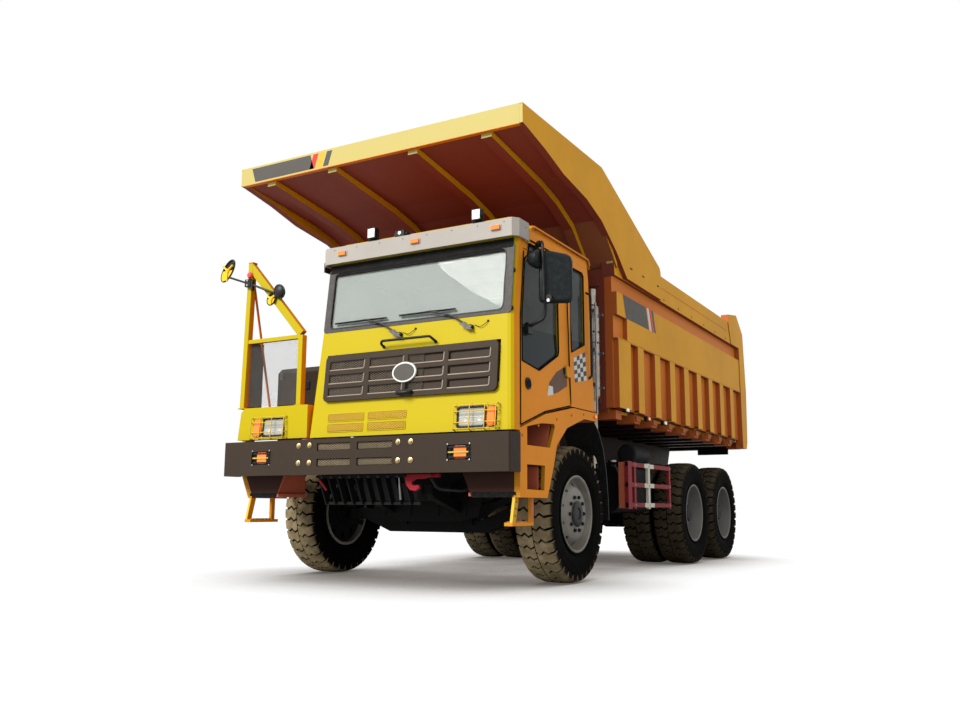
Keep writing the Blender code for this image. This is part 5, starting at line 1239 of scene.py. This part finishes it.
p.tube([(-1.84, -1.415, 3.185), (-1.56, -1.455, 3.085), (-1.42, -1.463, 3.035), (-1.27, -1.463, 2.972), (-1.15, -1.460, 2.93)], 0.0115, 10, round_r=0.03, material="plastic")
p.box(-1.558, -1.480, -1.476, -1.4405, 3.035, 3.115, "plastic")
p.box(-1.47, -1.445, -1.478, -1.448, 2.985, 3.10, "plastic")
for z in (3.05, 3.10):
    p.rod((-1.52, -1.484, z), (-1.52, -1.474, z), 0.012, 8, None, "steel")
p.done("right_mirror")
p = Piece("deck box trim", "plastic", slot="black_plastic", bevel=0.004)
p.box(-1.15, -1.00, -1.032, -1.0205, 1.96, 2.04)
for x in (-1.40, -0.75):
    p.box(x - 0.02, x + 0.02, -1.030, -1.0205, 2.08, 2.15, "steel")
p.box(-1.456, -0.684, -0.96, -0.26, 2.201, 2.208, "brown")
p.done()
p = Piece("deck tread plate", "steel_plate", slot="steel", smooth=0)
for i in range(13):
    for j in range(15):
        x, y = -1.46 + 0.055 * i + (0.0275 if j % 2 else 0), -1.30 + 0.11 * j
        if y > -1.03 and y < -0.24 and x < -0.68:
            continue
        if x > -0.70:
            continue
        p.hexa([(x - 0.018, y - 0.003, 1.7345), (x + 0.018, y - 0.003, 1.7345), (x + 0.018, y + 0.003, 1.7345), (x - 0.018, y + 0.003, 1.7345)], [(x - 0.014, y - 0.0015, 1.7385), (x + 0.014, y - 0.0015, 1.7385), (x + 0.014, y + 0.0015, 1.7385), (x - 0.014, y + 0.0015, 1.7385)])
p.done()

# ------------------------------------------------------------------ step fenders
for tag, s_ in (("left", 1), ("right", -1)):
    p = Piece(f"step fittings {tag}", "rail_orange", slot="yellow_paint", bevel=0.002)
    foot = 1.60 if s_ > 0 else 1.50
    for (x0, x1, y0, y1, z) in ((1.20, 1.60, -1.29, -0.88, 1.271), (1.17, foot, -1.29, -0.88, 0.861)):
        for k in range(7):
            y = y0 + (y1 - y0) * (k + 0.5) / 7
            p.box(s_ * x0, s_ * x1, y - 0.012, y + 0.012, z - 0.0005, z + 0.010, "step_brown")
    for k in range(7):
        y = -1.345 + 0.048 * k
        p.box(s_ * (foot - 0.075), s_ * (foot - 0.005), y, y + 0.026, 0.6015, 0.611, "step_brown")
    # faces of the hanging stirrup: the front strap, with holes, painted pale as lit, and the rear strap painted red as
    # shade
    q = lambda x, z, d=0.0: (s_ * x, -1.38 - d + (z - 0.58) * 0.066 / 0.27, z)
    a, b = foot - 0.028, foot - 0.002
    p.hexa([q(a, 0.60, 0.003), q(b, 0.60, 0.003), q(b, 0.60, -0.002), q(a, 0.60, -0.002)], [q(a, 0.815, 0.003), q(b, 0.815, 0.003), q(b, 0.815, -0.002), q(a, 0.815, -0.002)], "mesh_yellow")
    p.hexa([(s_ * foot, -1.372, 0.60), (s_ * foot, -1.330, 0.60), (s_ * (foot + 0.002), -1.330, 0.60), (s_ * (foot + 0.002), -1.372, 0.60)], [(s_ * foot, -1.322, 0.80), (s_ * foot, -1.278, 0.80), (s_ * (foot + 0.002), -1.278, 0.80), (s_ * (foot + 0.002), -1.322, 0.80)], "mesh_yellow")
    p.box(s_ * foot, s_ * (foot + 0.002), -1.015, -0.975, 0.605, 0.815, "step_shade_red")
    for z in (0.66, 0.72, 0.78):
        y = -1.348 + (z - 0.60) * 0.25
        p.rod((s_ * foot, y, z), (s_ * (foot + 0.0035), y, z), 0.009, 12, None, "deep")
    # a dark strip painted as the shade inside the lower opening
    p.box(s_ * 1.16, s_ * foot, -1.3175, -1.3125, 0.818, 0.865, "deep")
    if s_ > 0:
        side(p, oval(0.395, 1.668, 0.030, 0.018, 20), 0.001 + 0.0, 0.016, "amber", xf=lambda z: 1.642)
    for y, z in ((-1.27, 1.36), (-0.95, 1.47), (-0.55, 1.56), (-0.2, 1.63), (0.1, 1.665)):
        hexhead(p, (s_ * 1.642, y, z), (s_, 0, 0), 0.010, 0.008, "rail_orange")
    p.done()
    # inner panels seen through the openings, painted red as shade
    p = Piece(f"step backs {tag}", "step_shade_red", slot="yellow_paint", bevel=0.002)
    p.box(s_ * 1.181, s_ * 1.187, -1.29, -0.88, 0.87, 1.235)
    p.box(s_ * 1.181, s_ * (1.60 if s_ > 0 else 1.49), -0.874, -0.868, 0.862, 1.10)
    p.hexa([(s_ * 1.175, -0.700, 1.272), (s_ * 1.60, -0.700, 1.272), (s_ * 1.60, -0.694, 1.272), (s_ * 1.175, -0.694, 1.272)], [(s_ * 1.175, -0.600, 1.53), (s_ * 1.60, -0.600, 1.53), (s_ * 1.60, -0.594, 1.53), (s_ * 1.175, -0.594, 1.53)])
    p.box(s_ * 1.175, s_ * 1.181, -1.29, -0.75, 1.275, 1.44)
    p.done()
    # mudguard behind the front wheel, hung from the arch
    p = Piece(f"mudguard {tag}", "plastic", slot="rubber")
    pts = [(0.455, 1.63), (0.60, 1.52), (0.72, 1.33), (0.79, 1.10), (0.83, 0.82), (0.84, 0.60)]
    for (ya, za), (yb, zb) in zip(pts, pts[1:]):
        p.hexa([(s_ * 1.20, ya, za), (s_ * 1.60, ya, za), (s_ * 1.60, ya + 0.012, za + 0.004), (s_ * 1.20, ya + 0.012, za + 0.004)],
               [(s_ * 1.20, yb, zb), (s_ * 1.60, yb, zb), (s_ * 1.60, yb + 0.012, zb + 0.004), (s_ * 1.20, yb + 0.012, zb + 0.004)])
    for x in (1.592, 1.30):
        p.tube([(s_ * x, y + 0.012, z) for y, z in pts], 0.008, 8, round_r=0.05, material="plastic")
    p.done()

# ------------------------------------------------------------------ exhaust and the space behind the cab
p = Piece("exhaust", "chrome", slot="steel", smooth=35)
X0, Y0 = 1.47, 0.775
prof = [(1.15, 0.0), (1.15, 0.045), (1.88, 0.045), (1.90, 0.060), (1.93, 0.080), (1.94, 0.083), (2.90, 0.083), (2.93, 0.078), (2.95, 0.058), (2.96, 0.052), (3.13, 0.052), (3.132, 0.047), (3.0, 0.046), (3.0, 0.0)]
p.turned(prof, (X0, Y0, 0), "z", 40)
for z in (2.02, 2.40, 2.83):
    p.turned([(z - 0.018, 0.0825), (z - 0.018, 0.089), (z + 0.018, 0.089), (z + 0.018, 0.0825)], (X0, Y0, 0), "z", 40, "steel")
    p.box(X0 + 0.075, X0 + 0.13, Y0 - 0.016, Y0 + 0.016, z - 0.012, z + 0.012, "steel")
    p.box(X0 - 0.03, X0 + 0.05, Y0 + 0.08, Y0 + 0.115, z - 0.015, z + 0.015, "steel")
for k in range(16):
    for j in range(2):
        t = 2 * math.pi * (k + 0.5 * j) / 16
        p.rod((X0 + 0.0825 * math.cos(t), Y0 + 0.0825 * math.sin(t), 2.52 + 0.12 * j), (X0 + 0.0845 * math.cos(t), Y0 + 0.0845 * math.sin(t), 2.52 + 0.12 * j), 0.012, 8, None, "deep")
p.box(0.4405, X0 + 0.04, Y0 - 0.035, Y0 + 0.035, 1.12, 1.20, "black")
p.done("exhaust_stack")
p = Piece("cab pipes", "plastic", slot="black_plastic")
for k, (x, y) in enumerate(((1.53, 0.60), (1.47, 0.62), (1.50, 0.84))):
    top = 3.10 - 0.06 * k
    p.tube([(x - 0.25, 0.47, top - 0.15), (x - 0.10, 0.56, top), (x, y, top - 0.05), (x + 0.01, y, 2.2), (x, y - 0.02, 1.80), (x - 0.12, y - 0.02, 1.62)], 0.011 + 0.002 * k, 8, round_r=0.10)
p.tube([(1.56, 0.66, 1.72), (1.56, 0.66, 2.95)], 0.012, 10, material="steel")
for z in (2.04, 2.42, 2.85):
    p.box(1.38, 1.575, 0.60, 0.612, z - 0.02, z + 0.02, "steel")
p.box(0.95, 1.50, 0.50, 0.74, 1.72, 1.735, "rail_orange")
p.box(1.10, 1.16, 0.50, 0.56, 1.25, 1.72, "rail_orange")
for x in (1.02, 1.25, 1.44):
    p.tube([(x, 0.60, 1.735), (x + 0.02, 0.62, 1.80), (x + 0.07, 0.66, 1.79), (x + 0.09, 0.70, 1.70)], 0.016, 8, round_r=0.03, material="orange_dark")
p.done()
p = Piece("air cleaner", "engine", slot="dark_metal", smooth=30)
p.turned([(1.90, 0.0), (1.90, 0.19), (1.93, 0.21), (2.55, 0.21), (2.58, 0.19), (2.60, 0.0)], (-0.20, 0.70, 0), "z", 36)
for z in (2.0, 2.24, 2.48):
    p.turned([(z - 0.012, 0.209), (z - 0.012, 0.215), (z + 0.012, 0.215), (z + 0.012, 0.209)], (-0.20, 0.70, 0), "z", 36, "steel")
p.tube([(-0.20, 0.70, 2.58), (-0.20, 0.70, 2.85), (-0.20, 0.56, 2.97), (-0.20, 0.50, 3.05)], 0.08, 20, round_r=0.12, material="plastic")
p.tube([(0.0, 0.70, 1.75), (0.0, 0.70, 1.55), (0.0, 0.45, 1.35), (0.0, 0.2, 1.27)], 0.06, 16, round_r=0.12, material="plastic")
p.box(-0.30, -0.10, 0.62, 0.78, 1.25, 1.905, "black")
p.done()

# ------------------------------------------------------------------ side guards
for tag, s_ in (("left", 1), ("right", -1)):
    p = Piece(f"side guard {tag}", "rail_red", slot="guard_red", bevel=0.003)

    def bx(a, b, *rest, material=None):
        a, b = sorted((s_ * a, s_ * b))
        p.box(a, b, *rest, material=material)

    cuts = [(1.40, 1.96, "rail_red"), (1.96, 2.30, "rail_white"), (2.30, 2.94, "rail_red")]
    for z in (0.74, 0.97, 1.20):
        for a, b, m_ in cuts:
            bx(1.585, 1.615, a, b, z, z + 0.05, material=m_)
    for y, m_ in ((1.62, "rail_red"), (2.10, "rail_white"), (2.88, "rail_red")):
        bx(1.578, 1.612, y, y + 0.06, 0.722, 1.258, material=m_)
    bx(1.575, 1.62, 1.40, 1.52, 0.721, 1.259)
    # the block behind the end post is painted red as shade
    bx(1.50, 1.575, 1.41, 1.51, 0.73, 1.25, material="step_shade_red")
    for y in (1.44, 2.74):
        bx(0.4405, 1.60, y, y + 0.06, 1.225, 1.2495, material="black")
    for z in (0.765, 0.995, 1.225):
        for y in (1.65, 2.13, 2.91):
            hexhead(p, (s_ * 1.614, y, z), (s_, 0, 0), 0.010, 0.006, "steel")
    p.done(f"side_guard_{tag}")
    # tank fittings
    p = Piece(f"tank fittings {tag}", "steel", slot="steel", bevel=0.002)
    for y in (1.72, 2.50):
        p.tube([(s_ * 0.775, y, 0.79), (s_ * 0.775, y, 1.13), (s_ * 0.88, y, 1.226), (s_ * 1.34, y, 1.226), (s_ * 1.446, y, 1.12), (s_ * 1.446, y, 0.78), (s_ * 1.34, y, 0.674), (s_ * 0.88, y, 0.674)], 0.010, 8, closed=True, round_r=0.08, material="black")
    p.rod((s_ * 1.33, 1.60 + 0.05, 1.20), (s_ * 1.33, 1.65, 1.262), 0.045, 20, None, "plastic")
    p.rod((s_ * 1.33, 1.65, 1.262), (s_ * 1.33, 1.65, 1.285), 0.052, 16, 0.047)
    p.box(s_ * 1.4405, s_ * 1.447, 2.0, 2.04, 0.85, 1.08, "mirror")
    p.tube([(s_ * 1.10, 1.549, 0.80), (s_ * 1.10, 1.50, 0.78), (s_ * 0.9, 1.47, 0.95), (s_ * 0.6, 1.45, 1.02), (s_ * 0.5, 1.40, 1.10)], 0.014, 8, round_r=0.05, material="plastic")
    p.done()

# ------------------------------------------------------------------ bed
for tag, s_ in (("left", 1), ("right", -1)):
    p = Piece(f"bed trim {tag}", "cab_yellow", "bed", "yellow_paint", bevel=0.003)
    T = lambda d: s_ * (1.706 + d)
    p.box(T(-0.003), T(0.004), 2.45, 5.75, 3.495, 3.503)
    p.box(T(-0.003), T(0.004), 1.0, 6.30, 2.597, 2.606)
    for y in (2.60, 3.20, 3.80, 4.40, 5.00, 5.60):
        hexhead(p, (T(-0.001), y, 3.36), (s_, 0, 0), 0.013, 0.010)
    for k, y in enumerate((1.68, 2.28, 2.87, 3.47, 4.06, 4.65, 5.25, 5.85)):
        p.hexa([(s_ * 1.64, y - 0.10, 1.805), (T(-0.002), y - 0.10, 1.815), (T(-0.002), y + 0.10, 1.815), (s_ * 1.64, y + 0.10, 1.805)],
               [(s_ * 1.64, y - 0.10, 1.84), (T(-0.006), y - 0.10, 1.84), (T(-0.006), y + 0.10, 1.84), (s_ * 1.64, y + 0.10, 1.84)])
        p.box(s_ * 1.56, s_ * 1.66, y - 0.07, y + 0.07, 1.725, 1.79, "orange_dark")
    for y in (1.31, 1.72, 2.26):
        x = s_ * 1.733
        p.box(x, x + s_ * 0.002, y, y + 0.07, 3.462, 3.476, "deep")
        p.box(x, x + s_ * 0.004, y - 0.004, y + 0.074, 3.476, 3.482)
    p.done()
    p = Piece(f"bed lamps {tag}", "clear", "bed", "clear_lens", bevel=0.003)
    for k, (y, z) in enumerate(((1.20, 1.812), (1.91, 1.775), (2.52, 1.775))):
        p.box(s_ * 1.70, s_ * 1.716, y - 0.035, y + 0.035, z - 0.018, z + 0.018, "amber" if k == 1 else "clear")
        p.box(s_ * 1.655, s_ * 1.701, y - 0.045, y + 0.045, z - 0.026, z + 0.026, "plastic")
    p.done()
    p = Piece(f"bed decal {tag}", "decal_grey", "bed", "decal", smooth=0)
    e = lambda y0, y1, m_: side(p, [(y0[0], 2.862), (y1[0], 2.862 + 0.0), (y1[1], 3.125), (y0[1], 3.125)] if s_ > 0 else [(y0[0], 2.862), (y1[0], 2.862), (y1[1], 3.125), (y0[1], 3.125)], 0.0003, 0.0013, m_, xf=lambda z: 1.706, s=s_)
    e((1.21, 1.12), (1.99, 1.90), "decal_grey")
    e((2.02, 1.93), (2.09, 2.00), "decal_white")
    e((2.09, 2.00), (2.16, 2.07), "decal_red")
    e((2.18, 2.09), (2.25, 2.16), "decal_grey")
    p.done()
p = Piece("canopy decal", "decal_grey", "bed", "decal", smooth=0)


def strip(x0, x1, m_, lean=0.05):
    y = -1.4213
    p.hexa([(x0 + lean, y, 4.215), (x1 + lean, y, 4.215), (x1 + lean, y + 0.001, 4.215), (x0 + lean, y + 0.001, 4.215)], [(x0, y, 4.372), (x1, y, 4.372), (x1, y + 0.001, 4.372), (x0, y + 0.001, 4.372)], m_)


strip(-1.577, -0.76, "decal_grey")
strip(-0.72, -0.65, "decal_red", -0.05)
strip(-0.63, -0.56, "decal_orange", -0.05)
strip(-0.54, -0.47, "decal_grey", -0.05)
p.done()
p = Piece("canopy edge", "cab_yellow", "bed", "yellow_paint", bevel=0.002)
p.box(-1.732, 1.732, -1.4205, -1.412, 4.378, 4.392)
p.box(-1.69, 1.69, -1.4215, -1.37, 4.1925, 4.200, "rail_orange")
p.done()
p = Piece("bed corner closers", "wall_red", "bed", "yellow_paint", smooth=0)
for s_ in (1, -1):
    p.hexa([(s_ * 1.535, 0.925, 3.30), (s_ * 1.688, 0.925, 3.30), (s_ * 1.688, 0.929, 3.30), (s_ * 1.535, 0.929, 3.30)], [(s_ * 1.535, 0.905, 3.50), (s_ * 1.688, 0.905, 3.50), (s_ * 1.688, 0.909, 3.50), (s_ * 1.535, 0.909, 3.50)])
p.done()
p = Piece("bed inside", "bed_wear", "bed", "steel", smooth=0)
p.box(-1.548, 1.548, 1.0, 6.64, 1.8202, 1.8262)
for s_ in (1, -1):
    p.box(s_ * 1.5585, s_ * 1.5545, 1.0, 6.45, 1.83, 2.9)
p.done()
p = Piece("bed tail", "black", "bed", "dark_metal", bevel=0.004)
for s_ in (1, -1):
    p.box(s_ * 0.95, s_ * 1.45, 6.47, 6.4995, 1.60, 1.70, "black")
    for k, m_ in enumerate(("red_lens", "amber", "clear")):
        p.prism(rounded(s_ * 1.12 + (0.12 * k - 0.06 if s_ > 0 else -0.12 * k - 0.06) , s_ * 1.12 + (0.12 * k + 0.05 if s_ > 0 else -0.12 * k + 0.05), 1.61, 1.69, 0.01, 3), "y", 6.4995, 6.515, m_)
    # body prop lugs and hinge caps
    p.turned([(s_ * 0.53, 0.0), (s_ * 0.53, 0.07), (s_ * 0.545, 0.065), (s_ * 0.55, 0.0)], (0, 5.95, 1.30), "x", 24)
p.done()

# ------------------------------------------------------------------ engine, chassis and underside
p = Piece("chassis fittings", "black", slot="black_paint", smooth=35)
for s_ in (1, -1):
    for k in range(24):
        y = 0.9 + 0.22 * k
        for z in (1.02, 1.18):
            if 2.8 < y < 6.1 or y < 2.8:
                p.turned([(s_ * 0.4402, 0.0), (s_ * 0.4402, 0.017), (s_ * 0.450, 0.015), (s_ * 0.452, 0.0)], (0, y, z), "x", 8)
    for y0, y1 in ((1.0, 5.5),):
        p.tube([(s_ * 0.46, y0, 1.10), (s_ * 0.46, y1, 1.10)], 0.010, 8, material="plastic")
        p.tube([(s_ * 0.46, y0, 1.07), (s_ * 0.46, y1, 1.07)], 0.008, 8, material="steel")
    p.turned([(-0.28, 0.0), (-0.28, 0.10), (-0.26, 0.125), (0.26, 0.125), (0.28, 0.10), (0.28, 0.0)], (s_ * 1.12, 2.98, 1.42), "y", 28, "engine")
p.tube([(0.415, -1.39, 1.03), (0.43, -1.39, 0.90), (0.42, -1.36, 0.80)], 0.010, 8, material="steel")
p.tube([(0.70, -1.28, 1.00), (0.72, -1.20, 0.90), (0.95, -1.10, 0.88), (1.05, -0.95, 0.98)], 0.016, 8, round_r=0.05, material="plastic")
p.tube([(-0.60, -1.28, 1.00), (-0.66, -1.20, 0.93), (-0.80, -1.10, 0.92)], 0.014, 8, round_r=0.05, material="plastic")
for x in (-0.30, 0.30):
    p.turned([(-0.25, 0.0), (-0.25, 0.012), (0.25, 0.012), (0.25, 0.0)], (x, 0, 0.93), "x", 10, "steel")
p.done()
p = Piece("belly guard", "black", slot="black_paint", bevel=0.004)
p.prism([(-0.74, 1.02), (-0.62, 0.66), (-0.30, 0.585), (0.42, 0.585), (0.66, 0.64), (0.76, 1.02)], "y", -0.325, -0.310)
for x in (-0.50, -0.17, 0.17, 0.50):
    p.box(x - 0.02, x + 0.02, -0.335, -0.324, 0.64, 1.0)
for x in (-0.55, -0.2, 0.2, 0.55):
    hexhead(p, (x, -0.325, 0.95), (0, -1, 0), 0.012, 0.008, "engine")
p.done()
p = Piece("drive shaft", "engine", slot="dark_metal", smooth=35)
p.tube([(0, 1.55, 0.93), (0, 3.45, 0.76)], 0.055, 24)
p.tube([(0, 4.15, 0.72), (0, 5.05, 0.70)], 0.050, 24)
for y, z in ((1.60, 0.926), (3.40, 0.765), (4.20, 0.718), (5.0, 0.702)):
    p.ball((0, y, z), 0.075, 16)
p.done()

# ------------------------------------------------------------------ stage, camera, light
floor = bpy.data.meshes.new("floor")
floor.from_pydata([(-60, -60, 0), (60, -60, 0), (60, 60, 0), (-60, 60, 0)], [], [(0, 1, 2, 3)])
floor_obj = bpy.data.objects.new("floor", floor)
bpy.context.scene.collection.objects.link(floor_obj)
fm, ft, fb = mat("pale floor")
link(ft, mixc(ft, noise(ft, 0.8, 3), (0.345, 0.335, 0.32), (0.365, 0.355, 0.34)), fb.inputs["Base Color"])
# painted contact shadow: camera rays see the floor as emission whose brightness follows ambient occlusion, dark near
# the truck and white away from it; other rays see a plain diffuse floor
path = ft.nodes.new("ShaderNodeLightPath")
ao = ft.nodes.new("ShaderNodeAmbientOcclusion")
ao.samples = 16
ao.inputs["Distance"].default_value = 1.9
shade = ramp(ft, ao.outputs["AO"], ((0.15, (0.10, 0.09, 0.08)), (0.48, (0.34, 0.315, 0.29)), (0.76, (0.78, 0.77, 0.76)), (0.93, (1.04, 1.04, 1.04))))
link(ft, shade, fb.inputs["Emission Color"])
link(ft, path.outputs["Is Camera Ray"], fb.inputs["Emission Strength"])
plain = fb.inputs["Base Color"].links[0].from_socket
link(ft, mixc(ft, path.outputs["Is Camera Ray"], plain, (0.0, 0.0, 0.0)), fb.inputs["Base Color"])
fb.inputs["Roughness"].default_value = 0.9
fb.inputs["Specular IOR Level"].default_value = 0.1
floor.materials.append(fm)

scene = bpy.context.scene
world = bpy.data.worlds.new("studio")
scene.world = world
world.use_nodes = True
world.node_tree.nodes["Background"].inputs["Color"].default_value = (1, 1, 1, 1)
world.node_tree.nodes["Background"].inputs["Strength"].default_value = 1.0
scene.view_settings.view_transform = "Standard"
scene.view_settings.look = "None"


def sun(name, direction, strength, angle, color=(1, 1, 1)):
    data = bpy.data.lights.new(name, "SUN")
    data.energy = strength
    data.angle = math.radians(angle)
    data.color = color
    obj = bpy.data.objects.new(name, data)
    obj.rotation_euler = Vector(direction).to_track_quat("-Z", "Y").to_euler()
    scene.collection.objects.link(obj)


sun("key", (0.40, 0.80, -0.66), 6.2, 25, (1.0, 0.98, 0.92))

yaw, pitch, roll = math.radians(29.717), math.radians(9.292), math.radians(0.227)
f_ = Vector((-math.sin(yaw) * math.cos(pitch), math.cos(yaw) * math.cos(pitch), math.sin(pitch)))
r_ = Vector((math.cos(yaw), math.sin(yaw), 0))
u_ = r_.cross(f_)
rr = math.cos(roll) * r_ + math.sin(roll) * u_
uu = -math.sin(roll) * r_ + math.cos(roll) * u_
cam_data = bpy.data.cameras.new("camera")
cam_data.sensor_fit = "HORIZONTAL"
cam_data.sensor_width = 36.0
cam_data.lens = 903.0 / 960.0 * 36.0
cam_data.clip_end = 300
cam = bpy.data.objects.new("camera", cam_data)
cam.matrix_world = Matrix(((rr.x, uu.x, -f_.x, 5.255), (rr.y, uu.y, -f_.y, -8.356 - S), (rr.z, uu.z, -f_.z, 0.728), (0, 0, 0, 1)))
scene.collection.objects.link(cam)
scene.camera = cam
